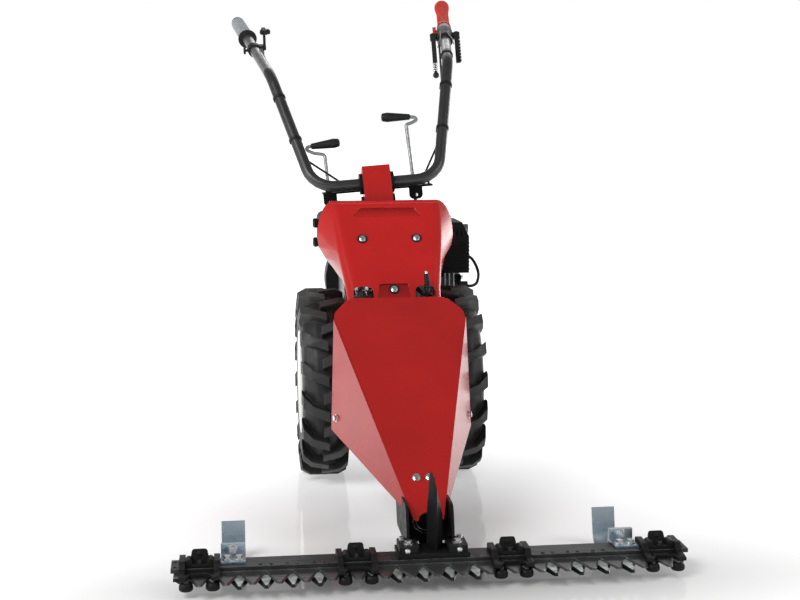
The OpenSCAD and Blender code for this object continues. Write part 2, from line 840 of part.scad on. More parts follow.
// The drum under the shield, its side lugs, its stub axle and the foot for the shield's lower bolts
module crank_housing() color([0.16, 0.16, 0.17]) placed() {
    difference() {
        union() {
            round_bar_y(0, drum_front, swing_z, drum_d, drum_len);
            round_bar_x(-cheek_x, drum_front + drum_len / 2, swing_z, lug_boss_d, cheek_x * 2);
            block(-low_bolt_pad, low_bolt_pad, drum_front - fork_depth / 2, drum_front + drum_len / 2,
                  swing_z + swing_hub_d * 0.6, swing_z + drum_d);
        }
        rod(tube_low, tube_high, tube_d + fit_gap * 2);
        on_slope() translate([0, 0, -shield_t])
            block(-shield_half, shield_half, -shield_half, shield_len, 0, shield_half);
    }
    round_bar_y(0, fork_front - stub_cap_t, swing_z, stub_d, drum_front - fork_front + stub_cap_t);
    round_bar_y(0, fork_front - stub_cap_t, swing_z, stub_cap_d, stub_cap_t - run_gap);
}

module swing_arm() color("gray") placed() {
    front = fork_front + (fork_depth - swing_t) / 2;
    neck_top = swing_pin_z + pin_d * 1.2;
    difference() {
        union() {
            round_bar_y(0, front, swing_z, swing_hub_d, swing_t);
            back_from(front, swing_t) polygon([
                [-swing_neck / 2, swing_pin_z], [swing_neck / 2, swing_pin_z], [swing_neck / 2, neck_top],
                [swing_w / 2, neck_top + swing_neck], [swing_w / 2, swing_z], [-swing_w / 2, swing_z],
                [-swing_w / 2, neck_top + swing_neck], [-swing_neck / 2, neck_top]]);
            round_bar_y(0, front, swing_pin_z, pin_d, swing_t);
        }
        round_bar_y(0, front - over, swing_z, stub_d + fit_gap * 2, swing_t + over * 2);
    }
}

module drive_tube() color([0.16, 0.16, 0.17]) placed() rod(tube_low, tube_high, tube_d);

// Shield

skirt_rear = [skirt_rear_half, skirt_rear_y, skirt_rear_z];
crease_low = [shield_tip_half, shield_low_y, shield_low_z];
crease_run = shield_len - shield_lip;
crease_high = [shield_half, shield_low_y + crease_run * cos(shield_rise),
    shield_low_z + crease_run * sin(shield_rise)];

// Right-hand side sheet, a triangle whose lower edge runs to the tip; its inner face holds the crease
function skirt_corners() = [crease_high, crease_low, skirt_rear];

module front_shield() color("firebrick") placed() {
    on_slope() translate([0, 0, -shield_t]) linear_extrude(shield_t) difference() {
        polygon(outline([[-shield_tip_half, 0], [shield_tip_half, 0],
            [shield_half, crease_run], [shield_half, crease_run + shield_lip * 0.3],
            [shield_top_half, shield_len], [-shield_top_half, shield_len],
            [-shield_half, crease_run + shield_lip * 0.3], [-shield_half, crease_run]],
            [0, 0, 0, shield_corner, shield_corner, shield_corner, shield_corner, 0]));
        circle(d = shield_arch_d);
    }
    both() difference() {
        sheet(skirt_corners(), shield_t);
        on_slope() translate([-shield_half * 2, -shield_half, 0])
            cube([shield_half * 4, shield_len * 2, shield_half]);
    }
}

strap_mid = mix(tube_low, tube_high, (strap_y - tube_low.y) / (tube_high.y - tube_low.y));

// Strap round the drive tube that carries the shield's side sheets
module shield_bracket() color([0.16, 0.16, 0.17]) placed() difference() {
    low = strap_mid.z - strap_h / 2;
    union() {
        back_from(strap_y - strap_t / 2, strap_t) union() {
            translate([-skirt_rear_half, low]) square([skirt_rear_half * 2, strap_h]);
            translate([0, strap_mid.z]) circle(d = strap_ring_d);
        }
        both() block(shield_half - strap_h / 2, skirt_rear_half, strap_y - strap_tab / 2,
            strap_y + strap_tab / 2, low, low + strap_h);
    }
    rod(tube_low, tube_high, tube_d + fit_gap * 2);
    both() sheet(skirt_corners(), skirt_rear_half);
}

// Bolts of the shield and of the hood, all of one size
module panel_bolts() color("silver") placed() {
    on_slope() for (s = [-1, 1]) translate([s * low_bolt_half, low_bolt_up, 0]) hex_bolt(panel_r, panel_h);
    at = in_plane(skirt_corners(), [[skirt_rear_half, strap_y, strap_mid.z]])[0];
    both() on_plane(skirt_corners()) translate([at.x, at.y, shield_t]) hex_bolt(panel_r, panel_h);
    on_hood() {
        translate([0, low_screw_up, -dish]) hex_bolt(panel_r, panel_h);
        for (s = [-1, 1]) translate([s * hood_bolt_half, high_screw_up, 0]) hex_bolt(panel_r, panel_h);
    }
}

// Running gear

gear_side = [for (p = gear_shares) [axle_y - gear_front + p.x * (gear_front + gear_rear),
                                    axle_z - gear_low + p.y * (gear_h + gear_low)]];

module gear_body() {
    across(gear_w) polygon(outline(gear_side, gear_radii));
    mid = [axle_y - gear_front / 3, axle_z + gear_h / 3];
    ribbed = [for (i = [0 : len(gear_side) - 1]) gear_shares[i].x < 1 && gear_shares[i].y < gear_rib_share
        ? gear_side[i] + unit(gear_side[i] - mid) * gear_rib : gear_side[i]];
    for (s = [-1, 0, 1]) translate([s * (gear_w / 2 - gear_rib_t), 0, 0]) across(gear_rib_t)
        polygon(outline(ribbed, gear_radii));
}

// Upright casting with the axle sleeves, the front flange, the clutch bell and the column's seat
module gearbox() color([0.62, 0.63, 0.64]) placed() difference() {
    top = axle_z + gear_h;
    union() {
        gear_body();
        round_bar_x(-sleeve_half, axle_y, axle_z, sleeve_d, sleeve_half * 2);
        round_bar_y(0, flange_y - flange_t, flange_z, flange_d, flange_t + gear_rib_t);
        round_bar_y(0, axle_y + gear_rear - gear_rib_t, crank_z, bell_d, bell_t + gear_rib_t);
        back_from(foot_y - seat_t, seat_t) {
            translate([0, lean_z]) circle(d = foot_d);
            translate([-foot_d / 2, top - gear_rib_t]) square([foot_d, lean_z - top + gear_rib_t]);
        }
    }
    round_bar_x(-sleeve_half - over, axle_y, axle_z, axle_d + fit_gap * 2, sleeve_half * 2 + over * 2);
    rod(tube_low, tube_high, tube_d + fit_gap * 2);
}

// Plane of the hub flanges, against the inner face of the rims' discs
hub_x = track / 2 + rim_well;

module axle() color("dimgray") placed() {
    reach = hub_x + axle_stub;
    round_bar_x(-reach, axle_y, axle_z, axle_d, reach * 2);
    both() {
        round_bar_x(sleeve_half + seat_gap, axle_y, axle_z, hub_d, hub_x - sleeve_half - seat_gap);
        round_bar_x(hub_x - hub_flange_t, axle_y, axle_z, hub_flange_d, hub_flange_t);
    }
}

// Wheel drawn round the Z axis with its outer side up, then turned on to the axle
module on_axle(side) {
    translate([side * track / 2, axle_y, axle_z]) rotate([0, side * 90, 0]) children();
}

module rim() {
    lip = bead_half + rim_t;
    seat = rim_r - rim_t / 2;
    well = rim_r - rim_well;
    barrel = [[rim_r + rim_lip, lip + rim_t], [seat, lip - rim_t / 2], [seat, lip * 0.66], [well, lip * 0.34],
        [well, -lip * 0.34], [seat, -lip * 0.66], [seat, -lip + rim_t / 2], [rim_r + rim_lip, -lip - rim_t]];
    rotate_extrude() polygon(strip(bends(barrel, [0, rim_t, rim_t, rim_t, rim_t, rim_t, rim_t, 0]), rim_t));
    difference() {
        translate([0, 0, rim_well]) cylinder(h = disc_t, r = well);
        translate([0, 0, rim_well - over]) cylinder(h = disc_t + over * 2, d = disc_hole_d);
        for (i = [0 : wheel_bolt_count - 1]) rotate([0, 0, (i + 0.5) * 360 / wheel_bolt_count])
            translate([(wheel_bolt_ring + well) / 2 + rim_t, 0, rim_well - over])
                cylinder(h = disc_t + over * 2, d = disc_hole_d * 0.6);
    }
}

// Carcass with two staggered rows of slanting lugs
module tyre() {
    bead = rim_r + seat_gap;
    crown = tyre_d / 2 - lug_h;
    rise = crown - bead;
    half = tyre_w / 2 - lug_h * 0.2;
    side = [for (p = carcass_shares) [bead + p.x * rise, p.y * half]];
    body = concat(side, [for (i = [len(side) - 1 : -1 : 0]) [side[i].x, -side[i].y]]);
    rotate_extrude() polygon(outline(body, [0, rise * 0.2, rise * 0.3, rise * 0.25, rise * 0.2,
                                            rise * 0.2, rise * 0.25, rise * 0.3, rise * 0.2, 0]));
    step = PI * tyre_d / lug_count;
    tread = [[crown - lug_skirt, half], [tyre_d / 2 - lug_skirt, tyre_w / 2],
             [tyre_d / 2 - lug_h * 0.6, tyre_w * 0.47], [tyre_d / 2, tyre_w * 0.3]];
    intersection() {
        rotate_extrude() polygon(concat([for (p = tread) [p.x, -p.y]], [for (i = [3 : -1 : 0]) tread[i]]));
        for (i = [0 : lug_count - 1], s = [-1, 1])
            rotate([0, 0, (i + s * 0.25) * 360 / lug_count]) translate([crown - lug_skirt, 0, 0])
                rotate([90, 0, 90]) linear_extrude(lug_skirt + lug_h * 2)
                    polygon([for (p = lug_shares) [p.x * step, s * p.y * tyre_w]]);
    }
}

module left_rim() color("lightgray") placed() on_axle(-1) rim();

module right_rim() color("lightgray") placed() on_axle(1) rim();

module left_tyre() color([0.1, 0.1, 0.1]) placed() on_axle(-1) tyre();

module right_tyre() color([0.1, 0.1, 0.1]) placed() on_axle(1) mirror([0, 1, 0]) tyre();

module wheel_bolts() color("silver") placed() for (s = [-1, 1], i = [0 : wheel_bolt_count - 1])
    on_axle(s) rotate([0, 0, i * 360 / wheel_bolt_count])
        translate([wheel_bolt_ring, 0, rim_well + disc_t]) hex_bolt();

// Hood

// Half width of the hood's front and of its rear edge at a share of its height
function hood_front_half(h) = mix(hood_foot_half, hood_top_half, h);
function hood_rear_half(h) = h < hood_wide_share
    ? mix(hood_rear_foot_half, hood_wide_half, (1 - cos(180 * h / hood_wide_share)) / 2)
    : mix(hood_top_half, hood_wide_half, sqrt(1 - pow((h - hood_wide_share) / (1 - hood_wide_share), 2)));

// Level section of the hood, drawn in by a wall and let through at the rear and the foot
function hood_ring(h, wall) = let(
    y = hood_foot_y + hood_run * min(h, 1) + wall * 1.4,
    rear = hood_rear_y + over * (wall > 0 ? 1 : 0),
    f = hood_front_half(max(0, min(h, 1))) - wall,
    r = hood_rear_half(max(0, min(h, 1))) - wall,
    z = hood_foot_z + hood_h * h,
    c = min(hood_corner, (rear - y) * 0.45),
    ring = concat([[-r, rear]], corner([-r, rear], [-f, y], [f, y], c),
                  corner([-f, y], [f, y], [r, rear], c), [[r, rear]]))
    [for (p = ring) [p.x, p.y, z]];

module hood_shape(wall) {
    low = wall > 0 ? -over / hood_h : 0;
    high = 1 - wall / hood_h;
    loft([for (i = [0 : hood_levels]) hood_ring(mix(low, high, sin(90 * i / hood_levels)), wall)]);
}

// The hood's sloping front, drawn with +Y up the slope and +Z out of it
module on_hood() {
    translate([0, hood_foot_y, hood_foot_z]) rotate([atan2(hood_h, hood_run), 0, 0]) children();
}

hood_slope = norm([hood_h, hood_run]);
low_screw_up = hood_slope * hood_bolt_shares[0];
high_screw_up = hood_slope * hood_bolt_shares[1];

module hood() color("firebrick") placed() difference() {
    hood_shape(0);
    hood_shape(hood_t);
    both() back_from(hood_foot_y - hood_run / 2, hood_run)
        translate([notch_mid - notch_w / 2, hood_foot_z - over]) polygon(outline(
            [[0, 0], [notch_w, 0], [notch_w, notch_h], [0, notch_h]], [0, 0, notch_h / 3, notch_h / 3]));
    on_hood() {
        translate([0, hood_slope * scoop_share, -dish]) linear_extrude(hood_t * 2) polygon(outline(
            [[-scoop_foot / 2, 0], [scoop_foot / 2, 0], [scoop_w / 2, scoop_h], [-scoop_w / 2, scoop_h]],
            [dish * 2, dish * 2, dish * 2, dish * 2]));
        translate([0, -over, -dish]) linear_extrude(hood_t * 2) polygon(outline(
            [[-pocket_foot / 2, 0], [pocket_foot / 2, 0],
             [pocket_w / 2, pocket_h], [-pocket_w / 2, pocket_h]],
            [0, 0, dish * 3, dish * 3]));
    }
}

// Dark red strap under the hood's lower edge, and the cross plate with the posts for its upper screws
module hood_bracket() color([0.45, 0.05, 0.06]) placed() {
    top = hood_foot_z - hood_strap_drop;
    plate_y = foot_y - seat_t - hood_plate_t;
    plate_z = lean_z + foot_d / 2 - hood_plate_h;
    difference() {
        union() {
            block(-hood_strap_w / 2, hood_strap_w / 2, hood_foot_y - hood_strap_t, axle_y,
                top - hood_strap_t, top);
            on_hood() translate([0, low_screw_up, -hood_t - hood_low_post])
                cylinder(h = hood_low_post - seat_gap, d = hood_post_d);
        }
        gear_body();
    }
    block(-hood_bolt_half - hood_post_d / 2, hood_bolt_half + hood_post_d / 2, plate_y, foot_y - seat_t,
        plate_z, plate_z + hood_plate_h);
    both() difference() {
        on_hood() translate([hood_bolt_half, high_screw_up, -hood_t - hood_run / 2])
            cylinder(h = hood_run / 2 - seat_gap, d = hood_post_d);
        block(0, hood_wide_half, plate_y + hood_plate_t / 2, axle_y + hood_run, 0, lean_z + hood_h);
    }
}

// Engine, drawn from the crankshaft and its own front face

module on_engine() {
    translate([0, engine_y, crank_z]) children();
}

tank_depth = case_depth - tank_front - tank_gap;
case_right = case_w - case_left;
case_top = case_h - case_low;

module crankcase() color([0.66, 0.67, 0.68]) placed() on_engine() back_from(0, case_depth) polygon(outline(
    [[-case_left, -case_low], [case_right, -case_low], [case_right, case_top], [-case_left, case_top]],
    [case_corner, case_corner / 2, case_corner / 3, case_corner]));

module cylinder_block() {
    pitch = cyl_len / fin_count;
    block(case_right, case_right + cyl_len, cyl_front + cyl_core, cyl_front + cyl_depth - cyl_core,
        -cyl_low + cyl_core, cyl_high - cyl_core);
    for (i = [0 : fin_count - 1])
        block(case_right + i * pitch + pitch - fin_t, case_right + (i + 1) * pitch, cyl_front,
            cyl_front + cyl_depth, -cyl_low, cyl_high);
}

module cylinder_fins() color([0.62, 0.63, 0.64]) placed() on_engine() cylinder_block();

module valve_cover() color([0.2, 0.2, 0.21]) placed() on_engine() translate([case_right + cyl_len, 0, 0])
    rotate([90, 0, 90]) linear_extrude(cover_t) {
        front = cyl_front + cover_in * 3;
        rear = cyl_front + cyl_depth - cover_in;
        low = -cyl_low + cover_in;
        top = cyl_high - cover_in;
        polygon(outline([[front, low], [rear, low], [rear, top], [front, top]],
            [cover_corner, cover_corner, cover_corner, cover_corner]));
    }

// Sheet guard over the silencer, with its row of slots and its pressed ribs
module muffler_guard() color([0.08, 0.08, 0.08]) placed() on_engine() {
    z0 = cyl_high + guard_gap;
    z1 = z0 + guard_h;
    slot_step = (guard_right - guard_left - guard_chamfer) / guard_slots;
    difference() {
        back_from(0, guard_wide) polygon([[guard_left, z0], [guard_right, z0],
            [guard_right, z1 - guard_chamfer * 2], [guard_right - guard_chamfer, z1], [guard_left, z1]]);
        for (i = [0 : guard_slots - 1]) translate([guard_left + (i + 0.5) * slot_step, 0, 0])
            block(0, guard_slot_w, -over, guard_t, z1 - guard_chamfer - guard_slot_h, z1 - guard_chamfer);
    }
    block(guard_left, case_right + cyl_len, cyl_front + cyl_core, guard_wide, cyl_high, z0);
}

module fuel_tank() color([0.08, 0.08, 0.08]) placed() on_engine() {
    z0 = case_top + tank_gap;
    z1 = z0 + tank_h;
    shelf = cyl_high + guard_gap * 2 + guard_h;
    back_from(tank_front, tank_depth) polygon(outline(
        [[-tank_left, z0], [tank_step, z0], [tank_step, shelf], [tank_right, shelf],
         [tank_right, shelf + tank_corner / 2], [tank_step + tank_corner, z1], [-tank_left, z1]],
        [tank_corner, tank_corner, 0, tank_corner / 4, tank_corner / 4, tank_corner, tank_corner]));
    block(-tank_left + tank_corner, case_right - tank_corner, tank_front, case_depth, case_top, z0);
    translate([cap_x, cap_y, z1]) cylinder(h = neck_h, d = neck_d);
}

module fuel_cap() color([0.06, 0.06, 0.06]) placed() on_engine()
    translate([cap_x, cap_y, case_top + tank_gap + tank_h + neck_h + run_gap]) {
        cylinder(h = cap_h, d = cap_d);
        for (i = [0 : cap_ribs - 1]) rotate([0, 0, i * 360 / cap_ribs])
            translate([cap_d / 2, 0, 0]) cylinder(h = cap_h * 0.8, d = cap_d * 0.09, $fn = 12);
    }

module air_filter() color([0.09, 0.09, 0.09]) placed() on_engine() {
    z0 = case_top + tank_gap;
    back_from(filter_front, filter_depth) polygon(outline(
        [[-filter_left, z0], [-filter_left + filter_w, z0],
         [-filter_left + filter_w, z0 + filter_h], [-filter_left, z0 + filter_h]],
        [filter_corner / 2, 0, filter_corner, filter_corner]));
    block(-case_left + case_corner, -filter_left + filter_w, filter_front + filter_corner,
          filter_front + filter_depth - filter_corner, case_top, z0);
}

module fan_housing() color([0.09, 0.09, 0.09]) placed() on_engine() back_from(case_depth, fan_depth) {
    circle(d = fan_d);
    translate([0, -fan_duct]) square([duct_len, fan_duct * 2]);
}

module recoil_cover() color([0.07, 0.07, 0.07]) placed() on_engine()
    translate([0, case_depth + fan_depth, 0]) rotate([-90, 0, 0]) difference() {
        rotate_extrude() polygon([[0, 0], [recoil_d / 2, 0], [recoil_d / 2, recoil_t * 0.45],
            [recoil_d * 0.42, recoil_t * 0.8], [recoil_hub_d / 2, recoil_t], [0, recoil_t]]);
        for (i = [0 : recoil_slots - 1]) rotate([0, 0, i * 360 / recoil_slots])
            translate([recoil_hub_d / 2 + slot_w, -slot_w / 2, recoil_t * 0.5])
                cube([slot_len, slot_w, recoil_t]);
    }

module starter_grip() color([0.07, 0.07, 0.07]) placed() on_engine()
    translate([0, case_depth + fan_depth + pull_d / 2 + seat_gap, recoil_d / 2]) {
        cylinder(h = pull_stem, d = pull_stem_d);
        translate([-pull_len / 2, 0, pull_stem + pull_d / 2 - over]) rotate([0, 90, 0])
            cylinder(h = pull_len, d = pull_d);
    }

module spark_plug() color([0.85, 0.85, 0.82]) placed() on_engine()
    translate([case_right + cyl_len, plug_y, plug_z]) rotate([0, 90, 0]) {
        cylinder(h = plug_len * 0.4, d = plug_d, $fn = 6);
        cylinder(h = plug_len, d = plug_d * 0.6);
        translate([0, 0, plug_len * 0.5]) cylinder(h = boot_len, d = boot_d);
    }

// Ends of the ignition lead at the fan housing and at the plug's boot
lead_start = [duct_len + seat_gap, case_depth + fan_depth / 4, fan_duct - lead_d];
lead_stop = [case_right + cyl_len + plug_len * 0.5 + boot_len + seat_gap, plug_y, plug_z];
lead_route = concat([lead_start], [for (p = lead_out) lead_start + p], [for (p = lead_in) lead_stop + p],
                    [lead_stop]);

module plug_lead() color([0.06, 0.06, 0.06]) placed() on_engine() cable(curve(lead_route, 5), lead_d);

// Column and handlebar

cross_mid = [0, cross_y, cross_z];

// The column's own frame: +Z runs up it from its foot and -Y is its front
module on_column() {
    translate([0, foot_y, lean_z]) rotate([-column_lean, 0, 0]) children();
}

module column() color("firebrick") placed() leaned() difference() {
    union() {
        on_column() linear_extrude(column_len + column_over) difference() {
            translate([-column_w / 2, -column_d / 2]) square([column_w, column_d]);
            translate([-column_w / 2 + column_t, -column_d / 2 + column_t])
                square([column_w - column_t * 2, column_d]);
        }
        round_bar_y(0, foot_y, lean_z, foot_d, foot_t);
    }
    round_bar_x(-column_w, cross_y, cross_z, bar_tube_d + fit_gap * 2, column_w * 2);
    round_bar_x(-column_w, cross_y - lock_down * sin(column_lean), cross_z - lock_down * cos(column_lean),
                lock_d + fit_gap * 2, column_w * 2);
    translate([-foot_d, foot_y - foot_d, lean_z - foot_d])
        cube([foot_d * 2, foot_d, foot_d * 2]);
}

module clamp_discs() color([0.1, 0.1, 0.1]) placed() leaned() both() difference() {
    round_bar_x(column_w / 2, cross_y, cross_z, disc_d, disc_side_t);
    round_bar_x(column_w / 2 - over, cross_y, cross_z, bar_tube_d + fit_gap * 2, disc_side_t + over * 2);
}

// Right half of the handlebar's path, from its middle to the end of the grip
bend_low = [bend_low_half, cross_y, cross_z];
bend_high = [bend_high_half, bend_high_y, bend_high_z];
grip_end = [grip_half, grip_y, grip_z];

// Distance from a bend's corner to the start of its arc
function bend_back(a, b, c, r) = r / tan(acos(unit(a - b) * unit(c - b)) / 2);

cross_half = bend_low_half - bend_back(cross_mid, bend_low, bend_high, bend_low_r);
arm_path = concat([[cross_half - over, cross_y, cross_z]],
                  corner(cross_mid, bend_low, bend_high, bend_low_r),
                  corner(bend_low, bend_high, grip_end, bend_high_r), [grip_end]);

// One bent tube: a true round across the column, and two arms swept along their bends
module handlebar() color([0.2, 0.2, 0.21]) placed() leaned() {
    round_bar_x(-cross_half, cross_y, cross_z, bar_tube_d, cross_half * 2);
    both() cable(arm_path, bar_tube_d - fit_gap, 20);
}

// A sleeve drawn from the end of a grip towards the machine
module on_grip(side) {
    a = side > 0 ? grip_end : flip(grip_end);
    b = side > 0 ? bend_high : flip(bend_high);
    aim(a, b) children();
}

module left_grip() color([0.13, 0.13, 0.14]) placed() leaned() on_grip(-1) difference() {
    union() {
        translate([0, 0, -grip_over]) cylinder(h = grip_len + grip_over, d = grip_d * 0.9);
        for (i = [0 : grip_ribs - 1]) translate([0, 0, (i + 0.5) * grip_len / grip_ribs])
            cylinder(h = grip_len / grip_ribs / 2, d = grip_d);
        translate([0, 0, grip_len - grip_over]) cylinder(h = grip_over, d = grip_flange_d);
    }
    cylinder(h = grip_len + over, d = bar_tube_d + fit_gap * 2);
}

// Plain grip with a flared end
module right_grip() color("firebrick") placed() leaned() on_grip(1) difference() {
    rotate_extrude() polygon([[0, -grip_over], [flare_d / 2, -grip_over], [flare_d / 2, grip_over],
        [grip_d * 0.45, long_grip * 0.3], [grip_d * 0.45, long_grip * 0.85],
        [grip_d / 2, long_grip], [0, long_grip]]);
    cylinder(h = long_grip + over, d = bar_tube_d + fit_gap * 2);
}

// Distance along the upper length of the handlebar from the grip's end
arm_len = norm(grip_end - bend_high);

// A clamp ring on the tube with an ear towards the side given
module tube_clamp(w, wall = clamp_wall) {
    difference() {
        union() {
            translate([0, 0, -w / 2]) cylinder(h = w, d = bar_tube_d + wall * 2);
            children();
        }
        translate([0, 0, -w]) cylinder(h = w * 2, d = bar_tube_d + fit_gap * 2);
    }
}

module at_throttle() {
    on_grip(-1) translate([0, 0, arm_len * throttle_share]) children();
}

throttle_x = bar_tube_d / 2 + throttle_out;

module throttle_bracket() color([0.1, 0.1, 0.1]) placed() leaned() at_throttle() {
    tube_clamp(strap_w) {
        translate([0, -throttle_ear / 2, -strap_w / 2]) cube([throttle_x, throttle_ear, strap_w]);
        translate([-bar_tube_d / 2 - wing_len, 0, 0]) rotate([0, 90, 0])
            cylinder(h = wing_len, d = lever_pin_d * 0.8);
        translate([-bar_tube_d / 2 - wing_len, -wing_w / 2, -lever_t / 2]) cube([lever_t, wing_w, lever_t]);
    }
    translate([throttle_x, throttle_ear / 4, 0]) rotate([0, 90, 0])
        cylinder(h = lever_t + run_gap, d = lever_pin_d);
}

// Short lever with a cross knob, on the inner side of the bracket
module throttle_lever() color([0.1, 0.1, 0.1]) placed() leaned() at_throttle()
    translate([throttle_x + run_gap, throttle_ear / 4, 0]) rotate([0, 90, 0]) difference() {
        union() {
            cylinder(h = lever_t, d = lever_w);
            translate([-lever_w * 0.3, 0, 0]) cube([lever_w * 0.6, throttle_arm, lever_t]);
            translate([-throttle_knob, throttle_arm, -lever_t * 0.4])
                cube([throttle_knob * 2, throttle_knob * 0.8, lever_t * 1.8]);
        }
        translate([0, 0, -over]) cylinder(h = lever_t + over * 2, d = lever_pin_d + fit_gap * 2);
    }

module at_clutch() {
    on_grip(1) translate([0, 0, arm_len * clutch_share]) children();
}

lever_x = bar_tube_d / 2 + lever_out;

// The levers' frame, which drops from the tube
module at_levers() {
    at_clutch() rotate([lever_drop, 0, 0]) children();
}

module clutch_bracket() color([0.2, 0.2, 0.2]) placed() leaned() at_clutch() {
    tube_clamp(clutch_w, clutch_wall) rotate([lever_drop, 0, 0])
        translate([-lever_x - lever_w / 2, -lever_t, -lever_w / 2])
            cube([lever_x * 2 + lever_w, lever_t * 2, lever_w]);
    both() rotate([lever_drop, 0, 0]) translate([lever_x, lever_t, 0]) rotate([-90, 0, 0])
        cylinder(h = lever_t + run_gap * 2, d = lever_pin_d);
}

// A lever on one pin of the bracket, running forward beside the tube
module side_lever(len) {
    difference() {
        union() {
            translate([0, lever_t + run_gap, 0]) rotate([-90, 0, 0]) cylinder(h = lever_t, d = lever_w);
            translate([-lever_w * 0.35, lever_t + run_gap, 0]) cube([lever_w * 0.7, lever_t, len]);
        }
        rotate([-90, 0, 0]) cylinder(h = lever_t * 4, d = lever_pin_d + fit_gap * 2);
    }
}

module clutch_lever() color([0.1, 0.1, 0.1]) placed() leaned() at_levers() translate([lever_x, 0, 0]) {
    side_lever(clutch_len);
    for (i = [0 : lever_ribs - 1])
        translate([lever_w * 0.35, lever_t + run_gap, clutch_len * (i + 2) / (lever_ribs + 2)])
            cube([lever_t * 0.5, lever_t, lever_t]);
}

// The reverse lever's frame, and the foot of the stem at its end
module at_reverse() {
    at_levers() translate([-lever_x, 0, 0]) children();
}
stem_foot = [0, lever_t * 1.5 + run_gap, reverse_len];

// Lever with a stem and a ball at its end
module reverse_lever() color([0.1, 0.1, 0.1]) placed() leaned() at_reverse() {
    side_lever(stem_foot.z);
    translate(stem_foot) {
        cylinder(h = coil_len, d = coil_rod_d);
        translate([0, 0, coil_len + ball_d * 0.4]) sphere(d = ball_d);
    }
}

// Coil spring on the stem
coil_foot = coil_wire / 2 + seat_gap;
coil_pitch = (coil_len - coil_foot * 2) / coil_turns;
echo(least_gap_between_the_curls = coil_pitch - coil_wire);

module lever_spring() color([0.1, 0.1, 0.1]) placed() leaned() at_reverse() translate(stem_foot)
    cable([for (i = [0 : coil_turns * coil_steps]) let(turn = i / coil_steps)
        [coil_d / 2 * cos(360 * turn), coil_d / 2 * sin(360 * turn), coil_foot + coil_pitch * turn]],
        coil_wire);

// Direction square to the arm's bend, towards the middle of the machine
bend_in = unit(cross(bend_high - bend_low, grip_end - bend_high));

// Place beside the right arm at a share of its length from a to b, turned round it from its inner side
function beside(a, b, share, turn) =
    mix(a, b, share) + (bend_in * cos(turn) + cross(unit(b - a), bend_in) * sin(turn)) * cable_out;

// Straight runs of a cable from its bracket, down behind the right arm and across to its stop
function cable_route(start, turns, stop_x) = let(stop = [stop_x, guide_y + stop_back, guide_z + seat_gap])
    bends([beside(bend_high, grip_end, start, turns[0]),
           beside(bend_low, bend_high, join_share, turns[1]),
           beside(bend_low, bend_high, leave_share, turns[1]),
           stop + [0, 0, stop_rise],
           stop], [0, cable_bend_r, cable_bend_r, stop_rise / 2, 0]);

throttle_start = 1 - throttle_share - (strap_w / 2 + seat_gap) / arm_len;
clutch_start = 1 - clutch_share - (clutch_w / 2 + seat_gap) / arm_len;

module throttle_cable() color([0.06, 0.06, 0.06]) placed() leaned() mirror([1, 0, 0])
    cable(cable_route(throttle_start, throttle_turns, throttle_stop_x), cable_d);

module clutch_cables() color([0.06, 0.06, 0.06]) placed() leaned() {
    cable(cable_route(clutch_start, clutch_turns, clutch_stop_x), cable_d);
    cable(cable_route(clutch_start, reverse_turns, reverse_stop_x), cable_d);
}

// A strap round the right arm at a share of its length from a to b, and round the cables turned as given
module tie(a, b, share, turns) {
    o = mix(a, b, share);
    on_plane([o, o + bend_in, o + cross(unit(b - a), bend_in)])
        translate([0, 0, -tie_w / 2]) linear_extrude(tie_w) difference() {
            union() {
                circle(d = bar_tube_d + tie_t * 2);
                for (t = turns) rotate(t) translate([cable_out, 0]) circle(d = cable_d + tie_t * 2);
            }
            circle(d = bar_tube_d + fit_gap * 2);
            for (t = turns) rotate(t) translate([cable_out, 0]) circle(d = cable_d + fit_gap * 2);
        }
}

module cable_ties() color([0.06, 0.06, 0.06]) placed() leaned() {
    tie(bend_high, grip_end, high_tie_share, []);
    for (t = tie_shares) {
        tie(bend_low, bend_high, t, [clutch_turns[1], reverse_turns[1]]);
        mirror([1, 0, 0]) tie(bend_low, bend_high, t, [throttle_turns[1]]);
    }
}

// Lever rods, which slide through eyes on two plates behind the column

rod_way = unit([0, rod_back, 1]);
function rod_at(x, z) = [x, guide_y + (z - guide_z) * rod_back, z];

module rod_plate(z) {
    y = rod_at(0, z).y;
    difference() {
        union() {
            block(left_rod_x - guide_w / 2, right_rod_x + guide_w * 1.3, y - guide_w, y + guide_w / 2,
                z - guide_t, z);
            for (x = [left_rod_x, right_rod_x])
                rod(rod_at(x, z - guide_t) - rod_way * eye_h / 2, rod_at(x, z) + rod_way * eye_h / 2,
                    rod_d + eye_wall * 2);
        }
        for (x = [left_rod_x, right_rod_x])
            rod(rod_at(x, z - eye_h * 2), rod_at(x, z + eye_h * 2), rod_d + fit_gap * 2);
        on_column() block(-column_w / 2, column_w / 2, -column_d, column_d / 2, 0,
            column_len + column_over);
        round_bar_x(-column_w, cross_y, cross_z, disc_d + seat_gap * 2, column_w * 2);
    }
}

module rod_guides() color([0.1, 0.1, 0.1]) placed() leaned() {
    rod_plate(guide_foot_z);
    rod_plate(guide_z);
    for (x = [left_rod_x, right_rod_x]) translate([x, 0, 0])
        back_from(guide_y - guide_w, guide_t) difference() {
            polygon(outline([[-guide_w / 2, guide_z - guide_t], [-guide_w / 2, guide_z - ear_h],
                [guide_w / 2, guide_z - ear_h], [guide_w / 2, guide_z - guide_t]],
                [0, guide_w / 3, guide_w / 3, 0]));
            translate([0, guide_z - ear_h * 0.7]) circle(d = rod_d);
        }
}

// A rod drawn from its foot to the curl under its knob; the curl goes to the side given
module lever_rod(x, top, side, curl) {
    foot = rod_at(x, guide_foot_z - rod_foot);
    head = rod_at(x, top);
    rod(foot, head, rod_d);
    turns = [for (p = curl) head + [side * p.x, p.y * rod_back, p.y] * rod_side];
    cable(curve(concat([head - rod_way * rod_d / 2], turns), 4), rod_d - fit_gap, 12);
}

